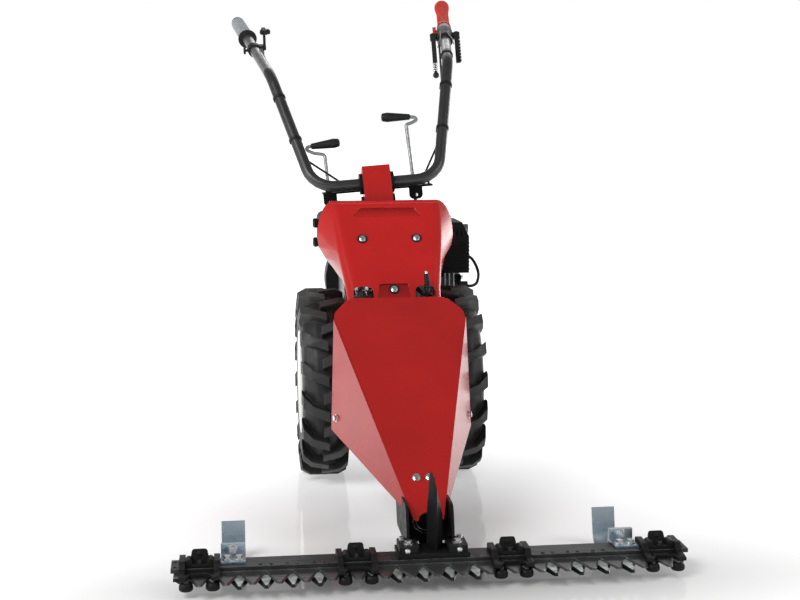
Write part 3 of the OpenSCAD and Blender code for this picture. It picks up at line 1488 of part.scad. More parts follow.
// Start of a rod's knob
function knob_at(x, top, side, curl) = let(p = curl[len(curl) - 1])
    rod_at(x, top) + [side * p.x, p.y * rod_back, p.y] * rod_side;

module lever_knob(x, top, side, curl) {
    way = unit([-side, 0, knob_tip_share]);
    o = knob_at(x, top, side, curl) + way * seat_gap;
    aim(o, o + way) rotate_extrude() polygon(outline([[0, 0], [knob_thin_d / 2, 0],
        [knob_thick_d / 2, knob_len * 0.8], [knob_thick_d * 0.4, knob_len], [0, knob_len]],
        [0, knob_thin_d / 4, knob_thick_d / 2, knob_thick_d / 4, 0]));
}

module gear_rod() color("silver") placed() leaned()
    lever_rod(left_rod_x, left_rod_top, -1, left_curl_shares);

module gear_knob() color([0.05, 0.05, 0.05]) placed() leaned()
    lever_knob(left_rod_x, left_rod_top, -1, left_curl_shares);

module knife_rod() color("silver") placed() leaned()
    lever_rod(right_rod_x, right_rod_top, 1, right_curl_shares);

module knife_knob() color([0.05, 0.05, 0.05]) placed() leaned()
    lever_knob(right_rod_x, right_rod_top, 1, right_curl_shares);

// Clamp stud through the column with its locking lever
module clamp_lever() color([0.1, 0.1, 0.1]) placed() leaned() {
    y = cross_y - lock_down * sin(column_lean);
    z = cross_z - lock_down * cos(column_lean);
    out = column_w / 2 + run_gap;
    round_bar_x(-out - lock_t, y, z, lock_d, (out + lock_t) * 2);
    round_bar_x(out, y, z, lock_d * 1.6, lock_t);
    translate([-out - lock_t, y, z]) rotate([90, 0, 90]) linear_extrude(lock_t) {
        circle(d = lock_w);
        polygon([[-lock_w / 2, 0], [lock_w / 2, 0], [lock_w * 0.3, -lock_len], [-lock_w * 0.1, -lock_len]]);
    }
}

cutter_bar();
finger_plate();
lower_guards();
knife_back();
knife_sections();
knife_head();
hold_downs();
bar_bolts();
skid_left();
skid_right();
hitch_frame();
hitch_clamps();
crop_divider();
crank_housing();
swing_arm();
drive_tube();
front_shield();
shield_bracket();
panel_bolts();
gearbox();
axle();
left_rim();
right_rim();
left_tyre();
right_tyre();
wheel_bolts();
hood();
hood_bracket();
crankcase();
cylinder_fins();  // cylinder
valve_cover();
muffler_guard();
air_filter();
fuel_tank();
fuel_cap();
fan_housing();
recoil_cover();
starter_grip();
spark_plug();
plug_lead();
column();
clamp_discs();
handlebar();
left_grip();
right_grip();
clamp_lever();
throttle_bracket();
throttle_lever();
clutch_bracket();
clutch_lever();
reverse_lever();
lever_spring();
throttle_cable();
clutch_cables();
cable_ties();
rod_guides();
gear_rod();
gear_knob();
knife_rod();
knife_knob();
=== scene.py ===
"""Two-wheel sickle bar mower: camera, light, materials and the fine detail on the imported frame."""

import json
import math

import bmesh
import bpy
from mathutils import Matrix, Vector


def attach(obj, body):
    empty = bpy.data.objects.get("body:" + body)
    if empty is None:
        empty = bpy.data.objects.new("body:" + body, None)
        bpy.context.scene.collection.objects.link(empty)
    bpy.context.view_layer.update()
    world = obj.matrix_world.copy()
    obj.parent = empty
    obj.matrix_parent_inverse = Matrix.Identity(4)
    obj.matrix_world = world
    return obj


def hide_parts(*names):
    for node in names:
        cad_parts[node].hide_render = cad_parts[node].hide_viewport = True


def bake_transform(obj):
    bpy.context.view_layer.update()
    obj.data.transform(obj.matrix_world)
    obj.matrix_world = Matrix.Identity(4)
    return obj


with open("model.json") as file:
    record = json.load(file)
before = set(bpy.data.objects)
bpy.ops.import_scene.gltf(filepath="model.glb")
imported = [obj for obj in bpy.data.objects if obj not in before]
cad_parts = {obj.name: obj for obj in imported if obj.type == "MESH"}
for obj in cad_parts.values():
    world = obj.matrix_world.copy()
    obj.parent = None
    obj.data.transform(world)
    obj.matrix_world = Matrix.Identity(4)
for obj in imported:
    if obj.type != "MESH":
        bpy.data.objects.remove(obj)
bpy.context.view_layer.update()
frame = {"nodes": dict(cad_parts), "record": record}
nodes = frame["nodes"]
scene = bpy.context.scene

# Directions in the part's frame, as the camera sees them
RIGHT, LEFT = (1.0, 0.0, 0.0), (-1.0, 0.0, 0.0)
BACK, FRONT = (0.0, 1.0, 0.0), (0.0, -1.0, 0.0)
UP, DOWN = (0.0, 0.0, 1.0), (0.0, 0.0, -1.0)


# Camera, fitted to the photograph

CAMERA_AT = Vector((-0.3204, -2.98102, 0.7972))
YAW, PITCH, ROLL = 0.1146, 0.1347, 0.0049
FOCAL_SHARE = 1405.7 / 800
SENSOR_MM = 36.0
VIEW_END = 60.0


def add_camera():
    forward = Vector((math.sin(YAW) * math.cos(PITCH), math.cos(YAW) * math.cos(PITCH), -math.sin(PITCH)))
    right = Vector((math.cos(YAW), -math.sin(YAW), 0.0))
    down = forward.cross(right)
    side = right * math.cos(ROLL) + down * math.sin(ROLL)
    up = right * math.sin(ROLL) - down * math.cos(ROLL)
    data = bpy.data.cameras.new("camera")
    data.sensor_fit = "HORIZONTAL"
    data.sensor_width = SENSOR_MM
    data.lens = FOCAL_SHARE * data.sensor_width
    data.clip_end = VIEW_END
    camera = bpy.data.objects.new("camera", data)
    turn = Matrix((side, up, -forward)).transposed().to_4x4()
    camera.matrix_world = Matrix.Translation(CAMERA_AT) @ turn
    scene.collection.objects.link(camera)
    scene.camera = camera


# Materials

NOISE_RANGE = (0.3, 0.7)
EDGE_RANGE = (0.995, 0.88)
BEVEL_SAMPLES = 4
SPAN_KEYS = ("From Min", "From Max", "To Min", "To Max")
WHITE = (1.0, 1.0, 1.0, 1.0)


def colour(value):
    return value if isinstance(value, bpy.types.NodeSocket) or len(value) == 4 else (*value, 1.0)


def shade(value, share):
    return tuple(v * share for v in value)


def set_span(node, numbers):
    for key, number in zip(SPAN_KEYS, numbers):
        node.inputs[key].default_value = number


class Nodes:
    """A material's node tree with short calls for the nodes that it uses."""

    def __init__(self, name):
        self.mat = bpy.data.materials.new(name)
        self.mat.use_nodes = True
        self.tree = self.mat.node_tree
        self.shader = self.tree.nodes["Principled BSDF"]
        self.place = self.add("ShaderNodeTexCoord").outputs["Object"]

    def add(self, kind, **values):
        node = self.tree.nodes.new(kind)
        for key, value in values.items():
            setattr(node, key, value)
        return node

    def put(self, socket, value):
        if isinstance(value, bpy.types.NodeSocket):
            self.tree.links.new(value, socket)
        else:
            socket.default_value = value

    def math(self, operation, a, b=0.0, clamp=False):
        node = self.add("ShaderNodeMath", operation=operation, use_clamp=clamp)
        self.put(node.inputs[0], a)
        self.put(node.inputs[1], b)
        return node.outputs[0]

    def offset(self, start):
        """Vector from start to the surface point."""
        node = self.add("ShaderNodeVectorMath", operation="SUBTRACT")
        self.put(node.inputs[0], self.place)
        node.inputs[1].default_value = start
        return node.outputs["Vector"]

    def along(self, direction, start=(0.0, 0.0, 0.0)):
        """Distance of the surface point from start, along direction."""
        dot = self.add("ShaderNodeVectorMath", operation="DOT_PRODUCT")
        self.put(dot.inputs[0], self.offset(start))
        dot.inputs[1].default_value = direction
        return dot.outputs["Value"]

    def reach(self, centre, axes):
        """Distance of the surface point from centre, with each axis counted by its share."""
        flat = self.add("ShaderNodeVectorMath", operation="MULTIPLY")
        self.put(flat.inputs[0], self.offset(centre))
        flat.inputs[1].default_value = axes
        length = self.add("ShaderNodeVectorMath", operation="LENGTH")
        self.put(length.inputs[0], flat.outputs["Vector"])
        return length.outputs["Value"]

    def stretched(self, scale):
        node = self.add("ShaderNodeMapping")
        self.put(node.inputs["Vector"], self.place)
        node.inputs["Scale"].default_value = scale
        return node.outputs["Vector"]

    def noise(self, scale, detail=4.0, rough=0.55, vector=None):
        node = self.add("ShaderNodeTexNoise")
        self.put(node.inputs["Vector"], vector or self.place)
        node.inputs["Scale"].default_value = scale
        node.inputs["Detail"].default_value = detail
        node.inputs["Roughness"].default_value = rough
        return node.outputs["Fac"]

    def cells(self, scale):
        """Distance from the nearest of many scattered points."""
        node = self.add("ShaderNodeTexVoronoi")
        self.put(node.inputs["Vector"], self.place)
        node.inputs["Scale"].default_value = scale
        return node.outputs["Distance"]

    def span(self, value, low, high, to_low=0.0, to_high=1.0):
        node = self.add("ShaderNodeMapRange")
        self.put(node.inputs["Value"], value)
        set_span(node, (low, high, to_low, to_high))
        return node.outputs["Result"]

    def blotches(self, scale, detail, low=0.0, high=1.0):
        """Noise whose usual range is spread from low to high."""
        return self.span(self.noise(scale, detail), *NOISE_RANGE, low, high)

    def mix(self, share, a, b):
        node = self.add("ShaderNodeMix", data_type="RGBA")
        self.put(node.inputs["Factor"], share)
        self.put(node.inputs["A"], colour(a))
        self.put(node.inputs["B"], colour(b))
        return node.outputs["Result"]

    def over(self, base, top, share, most):
        """The colour base with top laid over it, by share times most."""
        return self.mix(self.math("MULTIPLY", share, most), base, top)

    def rounded(self, radius):
        node = self.add("ShaderNodeBevel", samples=BEVEL_SAMPLES)
        node.inputs["Radius"].default_value = radius
        return node.outputs["Normal"]

    def edges(self, radius):
        """1 on sharp edges and 0 on flats."""
        plain = self.add("ShaderNodeNewGeometry").outputs["Normal"]
        dot = self.add("ShaderNodeVectorMath", operation="DOT_PRODUCT")
        self.put(dot.inputs[0], self.rounded(radius))
        self.put(dot.inputs[1], plain)
        return self.span(dot.outputs["Value"], *EDGE_RANGE)

    def rubbed(self, radius, scale, detail, low, high):
        """1 on sharp edges, in patches of noise between low and high."""
        patches = self.span(self.noise(scale, detail), low, high)
        return self.math("MULTIPLY", self.edges(radius), patches, True)

    def bump(self, height, strength, depth, radius=0.0):
        node = self.add("ShaderNodeBump")
        self.put(node.inputs["Height"], height)
        node.inputs["Strength"].default_value = strength
        node.inputs["Distance"].default_value = depth
        if radius:
            self.put(node.inputs["Normal"], self.rounded(radius))
        self.put(self.shader.inputs["Normal"], node.outputs["Normal"])

    def surface(self, base, rough, metal=0.0, **sockets):
        self.put(self.shader.inputs["Base Color"], colour(base))
        self.put(self.shader.inputs["Roughness"], rough)
        self.put(self.shader.inputs["Metallic"], metal)
        for key, value in sockets.items():
            self.shader.inputs[key.replace("_", " ")].default_value = value
        return self.mat


# The hood's front face: its foot, its slope, and each hollow where shade is painted, as low, high, half
# width low and high
HOOD_FOOT = Vector((0.0, -0.121719, 0.399))
HOOD_RISE = math.radians(47.6699)
HOOD_UP = Vector((0.0, math.cos(HOOD_RISE), math.sin(HOOD_RISE)))
HOOD_OUT = Vector((0.0, -math.sin(HOOD_RISE), math.cos(HOOD_RISE)))
SCOOP = (0.2296, 0.2536, 0.0760, 0.0590)
POCKET = (-0.0100, 0.0520, 0.0370, 0.0310)
HOLLOW_SIDE_BLEND = 0.003
HOLLOW_TOP_BLEND = 0.001
HOOD_SKIN = (-0.006, -0.004)


def hood_painted_shade(n):
    """1 where shade is painted into the hood's scoop and into the pocket round its low bolt, darkest towards
    each top edge.
    """
    up = n.along(HOOD_UP, HOOD_FOOT)
    across = n.math("ABSOLUTE", n.along(RIGHT))
    shades = []
    for low, high, half_low, half_high in (SCOOP, POCKET):
        half = n.span(up, low, high, half_low, half_high)
        inside = n.span(n.math("SUBTRACT", half, across), 0.0, HOLLOW_SIDE_BLEND)
        level = n.math("MULTIPLY", n.span(up, low, high), n.span(up, high, high - HOLLOW_TOP_BLEND))
        shades.append(n.math("MULTIPLY", inside, level))
    outer = n.span(n.along(HOOD_OUT, HOOD_FOOT), *HOOD_SKIN)
    return n.math("MULTIPLY", n.math("MAXIMUM", *shades), outer)


def enamel(name, base, rough=0.26, coat=0.08, worn=(0.12, 0.11, 0.11), gloss=0.28, hollows=None):
    """Sprayed enamel: orange peel, faint haze, rubbed edges and painted shade in any hollows that are given.
    """
    n = Nodes(name)
    toned = n.mix(n.span(n.noise(6.0, 5.0), 0.35, 0.7), shade(base, 0.9), shade(base, 1.08))
    toned = n.over(toned, shade(base, 0.5), n.span(n.noise(900.0, 2.0), 0.66, 0.74), 0.05)
    # Painted shade: the hollows' mask darkens the colour in place of the shade of a recess
    if hollows:
        toned = n.over(toned, shade(base, 0.25), hollows(n), 0.75)
    n.bump(n.noise(260.0, 2.0), 0.006, 0.0006, 0.0016)
    return n.surface(n.over(toned, worn, n.rubbed(0.0012, 120.0, 3.0, 0.5, 0.66), 0.5),
                     n.span(n.noise(40.0, 6.0), 0.3, 0.75, rough * 0.97, rough * 1.08),
                     Coat_Weight=coat, Coat_Roughness=0.08, Specular_IOR_Level=gloss)


def moulding(name, base, rough, grain=1400.0):
    """Moulded plastic: fine grain and scuffed edges."""
    n = Nodes(name)
    toned = n.mix(n.blotches(18.0, 5.0), shade(base, 0.85), shade(base, 1.15))
    n.bump(n.noise(grain, 3.0), 0.25, 0.00025, 0.0012)
    return n.surface(n.over(toned, shade(base, 3.0), n.rubbed(0.001, 90.0, 4.0, 0.42, 0.7), 0.35),
                     n.blotches(70.0, 5.0, rough * 0.85, rough * 1.2), Specular_IOR_Level=0.25)


def casting(name, base, rough, metal, pits, depth, worn=None):
    """Cast or forged metal: pebbled skin, darker hollows and paler rubbed edges."""
    n = Nodes(name)
    skin = n.noise(pits, 6.0, 0.62)
    toned = n.mix(n.span(n.noise(26.0, 6.0), 0.3, 0.72), shade(base, 0.75), shade(base, 1.25))
    toned = n.mix(n.span(skin, 0.55, 0.38), toned, shade(base, 0.55))
    n.bump(skin, 0.4, depth, 0.0018)
    return n.surface(n.over(toned, worn or shade(base, 2.6), n.rubbed(0.0015, 60.0, 4.0, 0.4, 0.68), 0.6),
                     n.blotches(80.0, 5.0, rough * 0.8, rough * 1.25), metal, Specular_IOR_Level=0.2)


def plated(name, base, rough, tint, spangle=160.0):
    """Zinc plate: cool spangle, handling marks and fine draw lines."""
    n = Nodes(name)
    lines = n.noise(60.0, 3.0, 0.6, n.stretched((1.0, 14.0, 14.0)))
    toned = n.mix(n.span(n.noise(30.0, 5.0), 0.35, 0.7), base, tint)
    toned = n.mix(n.span(n.cells(spangle), 0.1, 0.9, 0.0, 0.3), toned, shade(base, 0.7))
    n.bump(lines, 0.08, 0.0004, 0.001)
    return n.surface(toned, n.blotches(90.0, 5.0, rough * 0.7, rough * 1.5), 1.0)


def rolled(name, base, rough, metal):
    """Dark rolled steel: mill streaks along the bar and bright corners."""
    n = Nodes(name)
    streaks = n.noise(30.0, 6.0, 0.65, n.stretched((0.35, 7.0, 7.0)))
    toned = n.mix(n.span(streaks, *NOISE_RANGE), shade(base, 0.7), shade(base, 1.35))
    n.bump(n.noise(380.0, 5.0), 0.15, 0.0005, 0.001)
    return n.surface(n.over(toned, (0.55, 0.56, 0.57), n.rubbed(0.0008, 140.0, 3.0, 0.35, 0.6), 0.7),
                     n.span(streaks, *NOISE_RANGE, rough * 1.25, rough * 0.8), metal)


AXLE = (0.0, 0.06828, 0.205)
TYRE_CROWN = (0.188, 0.206)
TYRE_WALL = (0.168, 0.160)
WALL_RINGS = 900.0


def tyre_rubber(name):
    """Tyre rubber: moulded skin, ringed walls, dust, and lugs rubbed paler at their edges."""
    n = Nodes(name)
    away = n.reach(AXLE, (0.0, 1.0, 1.0))
    rings = n.math("SINE", n.math("MULTIPLY", away, WALL_RINGS))
    wall = n.math("MULTIPLY", n.span(away, *TYRE_WALL), n.span(rings, 0.6, 0.95), True)
    dust = n.span(n.noise(34.0, 6.0, 0.6), 0.42, 0.72)
    toned = n.over((0.008, 0.0078, 0.0075), (0.045, 0.042, 0.039), dust, 0.4)
    toned = n.over(toned, (0.042, 0.041, 0.040), n.span(away, *TYRE_CROWN), 0.7)
    skin = n.math("ADD", n.math("MULTIPLY", n.noise(520.0, 4.0), 0.3), wall)
    n.bump(skin, 0.5, 0.0009, 0.003)
    return n.surface(n.over(toned, (0.085, 0.083, 0.080), n.rubbed(0.0025, 70.0, 4.0, 0.3, 0.65), 0.5),
                     n.blotches(60.0, 4.0, 0.42, 0.62), Specular_IOR_Level=0.45)


def finger_steel(name):
    """Comb steel: zinc-bright flats on top, dark scale on the bevels and sides."""
    n = Nodes(name)
    normal = n.add("ShaderNodeSeparateXYZ")
    n.put(normal.inputs[0], n.add("ShaderNodeNewGeometry").outputs["Normal"])
    flats = n.span(normal.outputs["Z"], 0.95, 0.99)
    share = n.math("MULTIPLY", flats, n.span(n.noise(42.0, 4.0), 0.35, 0.6, 0.45, 1.0), True)
    bright = n.mix(n.blotches(140.0, 5.0), (0.44, 0.48, 0.46), (0.68, 0.73, 0.69))
    n.bump(n.noise(420.0, 5.0), 0.2, 0.0005, 0.0008)
    return n.surface(n.mix(share, (0.012, 0.012, 0.013), bright), n.blotches(90.0, 4.0, 0.28, 0.42), 0.6)


# Where the bare tube starts, on the left arm and on the right one
BARE_FROM = (0.332, 0.374)


def bar_tube(name):
    """The handlebar: dark enamel on the arms and bare plated tube towards the grips."""
    n = Nodes(name)
    dark = n.mix(n.blotches(14.0, 5.0), (0.014, 0.014, 0.0145), (0.022, 0.022, 0.023))
    bright = n.mix(n.blotches(50.0, 5.0), (0.36, 0.36, 0.365), (0.46, 0.46, 0.465))
    border = n.span(n.along(RIGHT), -0.01, 0.01, *BARE_FROM)
    bare = n.span(n.math("SUBTRACT", n.along(BACK), border), -0.0015, 0.0015)
    n.bump(n.noise(300.0, 3.0), 0.06, 0.0005)
    return n.surface(n.mix(bare, dark, bright), n.blotches(70.0, 5.0, 0.30, 0.42), bare)


GREY_GRIP_END = (-0.3106, 0.7406, 1.0203)
GREY_GRIP_WAY = (0.1555, -0.9361, -0.3156)
GREY_GRIP_STEP = 0.01364
GREY_GRIP_COLLAR = (0.1445, 0.1455)
GREY_GRIP_TIP = (0.004, 0.003)


def grey_grip(name):
    """Pale ribbed rubber with shade painted into the grooves between the ribs, a dark end and a black
    collar.
    """
    n = Nodes(name)
    run = n.along(GREY_GRIP_WAY, GREY_GRIP_END)
    pale = n.mix(n.blotches(60.0, 5.0), (0.30, 0.31, 0.33), (0.40, 0.41, 0.43))
    # Painted shade: near-black rings where the grooves between the ribs lie
    beat = n.math("FRACT", n.math("DIVIDE", run, GREY_GRIP_STEP))
    groove_shade = n.span(n.math("ABSOLUTE", n.math("SUBTRACT", beat, 0.25)), 0.27, 0.22, 0.0, 0.85)
    pale = n.mix(groove_shade, pale, (0.035, 0.035, 0.037))
    ends = n.math("MAXIMUM", n.span(run, *GREY_GRIP_COLLAR), n.span(run, *GREY_GRIP_TIP))
    n.bump(n.noise(500.0, 3.0), 0.1, 0.0003, 0.0012)
    return n.surface(n.mix(ends, pale, (0.012, 0.012, 0.013)), n.blotches(80.0, 4.0, 0.5, 0.7),
                     Specular_IOR_Level=0.2)


def red_grip(name):
    """Soft red rubber with a fine pebbled pattern."""
    n = Nodes(name)
    base = (0.50, 0.030, 0.016)
    toned = n.mix(n.blotches(40.0, 5.0), shade(base, 0.8), shade(base, 1.2))
    n.bump(n.cells(420.0), 0.15, 0.0004, 0.0015)
    return n.surface(toned, n.blotches(90.0, 4.0, 0.55, 0.7), Specular_IOR_Level=0.1)


HOLD_STEP = 0.264
HOLD_REACH = (0.030, 0.034)


def bar_fasteners(name):
    """Bolts of the bar: black in the hold-downs, zinc plated at the hitch and the skids."""
    n = Nodes(name)
    fold = n.math("ABSOLUTE", n.math("SUBTRACT", n.math("ABSOLUTE", n.along(RIGHT)), HOLD_STEP))
    plain = n.span(n.math("ABSOLUTE", n.math("SUBTRACT", fold, HOLD_STEP / 2)), *HOLD_REACH)
    bright = n.mix(n.blotches(90.0, 4.0), (0.55, 0.57, 0.59), (0.74, 0.74, 0.73))
    n.bump(n.noise(420.0, 4.0), 0.1, 0.0003, 0.0008)
    return n.surface(n.mix(plain, (0.010, 0.010, 0.011), bright), n.blotches(110.0, 4.0, 0.24, 0.36), plain)


RED = (0.36, 0.010, 0.009)
PLASTIC_RED = (0.42, 0.011, 0.010)
PLASTIC_WORN = (0.6, 0.1, 0.1)
BLACK = (0.008, 0.008, 0.0085)

LOOKS = {
    "bar_steel": rolled("bar_steel", (0.032, 0.033, 0.034), 0.40, 0.6),
    "bright_steel": plated("bright_steel", (0.52, 0.60, 0.66), 0.3, (0.40, 0.52, 0.62)),
    "blade_steel": rolled("blade_steel", (0.15, 0.15, 0.155), 0.34, 0.9),
    "black_casting": casting("black_casting", BLACK, 0.42, 0.0, 420.0, 0.0009, (0.04, 0.04, 0.04)),
    "black_paint": enamel("black_paint", BLACK, 0.42, 0.0, (0.08, 0.08, 0.08), 0.06),
    "fasteners": plated("fasteners", (0.70, 0.70, 0.69), 0.24, (0.60, 0.66, 0.70), 500.0),
    "red_paint": enamel("red_paint", RED),
    "red_plastic": enamel("red_plastic", PLASTIC_RED, 0.2, 0.4, PLASTIC_WORN),
    "dark_red_paint": enamel("dark_red_paint", (0.20, 0.008, 0.008), 0.3, 0.3),
    "cast_alloy": casting("cast_alloy", (0.44, 0.45, 0.46), 0.42, 0.85, 520.0, 0.0006),
    "axle_steel": rolled("axle_steel", (0.20, 0.20, 0.21), 0.3, 0.95),
    "rim_paint": enamel("rim_paint", (0.70, 0.70, 0.68), 0.3, 0.3, (0.25, 0.22, 0.2)),
    "tyre_rubber": tyre_rubber("tyre_rubber"),
    "black_plastic": moulding("black_plastic", BLACK, 0.45),
    "plug_ceramic": moulding("plug_ceramic", (0.022, 0.022, 0.023), 0.4),
    "cable_sheath": moulding("cable_sheath", (0.012, 0.012, 0.012), 0.4, 2200.0),
    "bar_tube": bar_tube("bar_tube"),
    "grey_grip": grey_grip("grey_grip"),
    "red_grip": red_grip("red_grip"),
}
PALE_ALLOY = casting("pale_alloy", (0.20, 0.20, 0.20), 0.4, 0.4, 700.0, 0.0004)
RODS = plated("rod_zinc", (0.30, 0.31, 0.32), 0.45, (0.26, 0.27, 0.28), 60.0)

# Nodes with a look of their own in place of their slot's
OWN_LOOKS = {
    "finger_plate": finger_steel("finger_steel"),
    "gear_rod": RODS,
    "knife_rod": RODS,
    "bar_bolts": bar_fasteners("bar_fasteners"),
    # The hood's look has shade painted into its scoop and into the pocket round its low bolt
    "hood": enamel("hood_plastic", PLASTIC_RED, 0.24, 0.15, PLASTIC_WORN, hollows=hood_painted_shade),
}

WELD_GAP = 2e-6


def smoothing(limit):
    """Modifier tree that shades curved faces smooth and keeps edges over a limit in degrees sharp."""
    tree = bpy.data.node_groups.new(f"smoothing_{limit}", "GeometryNodeTree")
    tree.interface.new_socket("Geometry", in_out="INPUT", socket_type="NodeSocketGeometry")
    tree.interface.new_socket("Geometry", in_out="OUTPUT", socket_type="NodeSocketGeometry")
    start, end = tree.nodes.new("NodeGroupInput"), tree.nodes.new("NodeGroupOutput")
    weld = tree.nodes.new("GeometryNodeMergeByDistance")
    weld.inputs["Distance"].default_value = WELD_GAP
    smooth = tree.nodes.new("GeometryNodeSetShadeSmooth")
    sharp = tree.nodes.new("GeometryNodeSetShadeSmooth")
    sharp.domain = "EDGE"
    sharp.inputs["Shade Smooth"].default_value = False
    angle = tree.nodes.new("GeometryNodeInputMeshEdgeAngle")
    over = tree.nodes.new("FunctionNodeCompare")
    over.inputs["B"].default_value = math.radians(limit)
    for a, b in ((start.outputs[0], weld.inputs["Geometry"]),
                 (weld.outputs[0], smooth.inputs["Geometry"]),
                 (smooth.outputs[0], sharp.inputs["Geometry"]),
                 (sharp.outputs[0], end.inputs[0]),
                 (angle.outputs["Unsigned Angle"], over.inputs["A"]),
                 (over.outputs[0], sharp.inputs["Selection"])):
        tree.links.new(a, b)
    return tree


CREASED = smoothing(32)
WIRY = smoothing(50)
WIRY_NODES = ("plug_lead", "lever_spring")


def dress_nodes():
    """Each CAD node's look, and its smooth shading."""
    for part in frame["record"]["subparts"]:
        name = part["node"]
        node = nodes[name]
        node.data.materials.clear()
        node.data.materials.append(OWN_LOOKS.get(name) or LOOKS[part["material_slot"]])
        with bpy.context.temp_override(object=node, active_object=node):
            bpy.ops.mesh.customdata_custom_splitnormals_clear()
        node.modifiers.new("smoothing", "NODES").node_group = WIRY if name in WIRY_NODES else CREASED


# Fine pieces, built in the part's frame


def square_to(way):
    """Two directions that make a right-handed frame with way."""
    way = Vector(way).normalized()
    u = (Vector(RIGHT) if abs(way.z) > 0.9 else Vector(UP)).cross(way).normalized()
    return u, way.cross(u), way


class Shape:
    """A mesh under construction."""

    def __init__(self):
        self.points = []
        self.faces = []

    def stack(self, rings, joined=False):
        """Skin over rings of equal count, which run anticlockwise about the way that they climb."""
        first, count = len(self.points), len(rings[0])
        for ring in rings:
            self.points.extend(ring)
        levels = len(rings)
        for j in range(levels if joined else levels - 1):
            low, high = first + j * count, first + (j + 1) % levels * count
            for i in range(count):
                k = (i + 1) % count
                self.faces.append((low + i, low + k, high + k, high + i))
        if not joined:
            self.faces.append(tuple(first + i for i in reversed(range(count))))
            self.faces.append(tuple(first + (levels - 1) * count + i for i in range(count)))

    def lathe(self, at, way, profile, steps=24, joined=False):
        """Turned shape: pairs of radius and height along way, or a closed loop of them."""
        u, v, w = square_to(way)
        at = Vector(at)
        turns = [2 * math.pi * (i + 0.5) / steps for i in range(steps)]
        self.stack([[at + w * h + (u * math.cos(t) + v * math.sin(t)) * r for t in turns]
                    for r, h in profile], joined)

    def tube(self, path, radius, steps=14):
        """Round tube along a path; radius is one number or one for each point."""
        path = [Vector(p) for p in path]
        last = len(path) - 1
        u = None
        rings = []
        for i, p in enumerate(path):
            way = (path[min(i + 1, last)] - path[max(i - 1, 0)]).normalized()
            u = square_to(way)[0] if u is None else (u - way * u.dot(way)).normalized()
            v = way.cross(u)
            r = radius if isinstance(radius, float) else radius[i]
            rings.append([p + (u * math.cos(t) + v * math.sin(t)) * r
                          for t in (2 * math.pi * k / steps for k in range(steps))])
        self.stack(rings)

    def slab(self, at, axes, half_u, half_v, height, chamfer):
        """Block on a face at a point, with its edges taken off."""
        u, v, w = (Vector(a).normalized() for a in axes)
        at = Vector(at)
        rings = []
        for h, inset in ((0.0, chamfer), (chamfer, 0.0), (height - chamfer, 0.0), (height, chamfer)):
            a, b = half_u - inset, half_v - inset
            rings.append([at + w * h + u * x + v * y for x, y in ((-a, -b), (a, -b), (a, b), (-a, b))])
        self.stack(rings)

    def bolt(self, at, way, radius, height):
        """Flanged hexagon head with its corners taken off."""
        w = Vector(way).normalized()
        flange = radius * 1.35
        self.lathe(at, w, [(flange, 0.0), (flange, height * 0.16), (radius * 1.15, height * 0.28)])
        self.lathe(Vector(at) + w * height * 0.27, w,
                   [(radius, 0.0), (radius, height * 0.62), (radius * 0.86, height * 0.73)], 6)

    def piece(self, name, body, slot, look=None, shading=CREASED):
        """The finished object, on a body where one is named, with its slot's look where none is given."""
        mesh = bpy.data.meshes.new(name)
        mesh.from_pydata(self.points, [], self.faces)
        mesh.materials.append(look or LOOKS[slot])
        made = bpy.data.objects.new(name, mesh)
        scene.collection.objects.link(made)
        made.modifiers.new("smoothing", "NODES").node_group = shading
        if body:
            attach(made, body)
        return made


def rounded_route(corners, radii, steps=8):
    """Path through corners, each rounded by its radius."""
    corners = [Vector(c) for c in corners]
    path = [corners[0]]
    for a, b, c, radius in zip(corners, corners[1:], corners[2:], radii):
        u, v = (a - b).normalized(), (c - b).normalized()
        half = u.angle(v) / 2
        back = min(radius / math.tan(half), 0.49 * min((a - b).length, (c - b).length))
        middle = b + (u + v).normalized() * back / math.cos(half)
        radius = back * math.tan(half)
        start, end = b + u * back, b + v * back
        for i in range(steps + 1):
            path.append(middle + (start.lerp(end, i / steps) - middle).normalized() * radius)
    return path + [corners[-1]]


# Cutter bar and hitch; a profile is a row of pairs of radius and height

FINGER_COUNT = 20
FINGER_STEP = 0.044
HOLD_XS = (-0.396, -0.132, 0.132, 0.396)
SKID_X = 0.340
BAR_TOP = 0.040
BAR_FRONT_Y = -0.693719
RIVET = ((0.0036, 0.0), (0.0034, 0.0009), (0.0024, 0.0017), (0.0010, 0.0020))
RIVET_SIDE = 0.00875
RIVET_Y = BAR_FRONT_Y + 0.009
HOLD_ROOM, HITCH_ROOM, SKID_ROOM = 0.037, 0.066, 0.025


def add_bar_rivets():
    """Pairs of low rivet heads over each finger, where nothing stands on the bar."""
    shape = Shape()
    for i in range(FINGER_COUNT):
        middle = (i - (FINGER_COUNT - 1) / 2) * FINGER_STEP
        for x in (middle - RIVET_SIDE, middle + RIVET_SIDE):
            taken = [abs(x - h) < HOLD_ROOM for h in HOLD_XS]
            taken += [abs(x) < HITCH_ROOM, abs(abs(x) - SKID_X) < SKID_ROOM]
            if not any(taken):
                shape.lathe((x, RIVET_Y, BAR_TOP), UP, RIVET, 16)
    shape.piece("bar_rivets", "chassis", "bar_steel")


NOSE = ((0.0065, 0.0), (0.0098, 0.0008), (0.0116, 0.0026), (0.0120, 0.0050),
        (0.0118, 0.0090), (0.0106, 0.0118), (0.0080, 0.0138), (0.0030, 0.0146))
NOSE_SIDE = 0.022
NOSE_Y = BAR_FRONT_Y - 0.026
NOSE_Z = 0.0110
TONGUE_BACK = BAR_FRONT_Y - 0.004
TONGUE_HALF, TONGUE_HEIGHT, TONGUE_CHAMFER = 0.0098, 0.0092, 0.0012


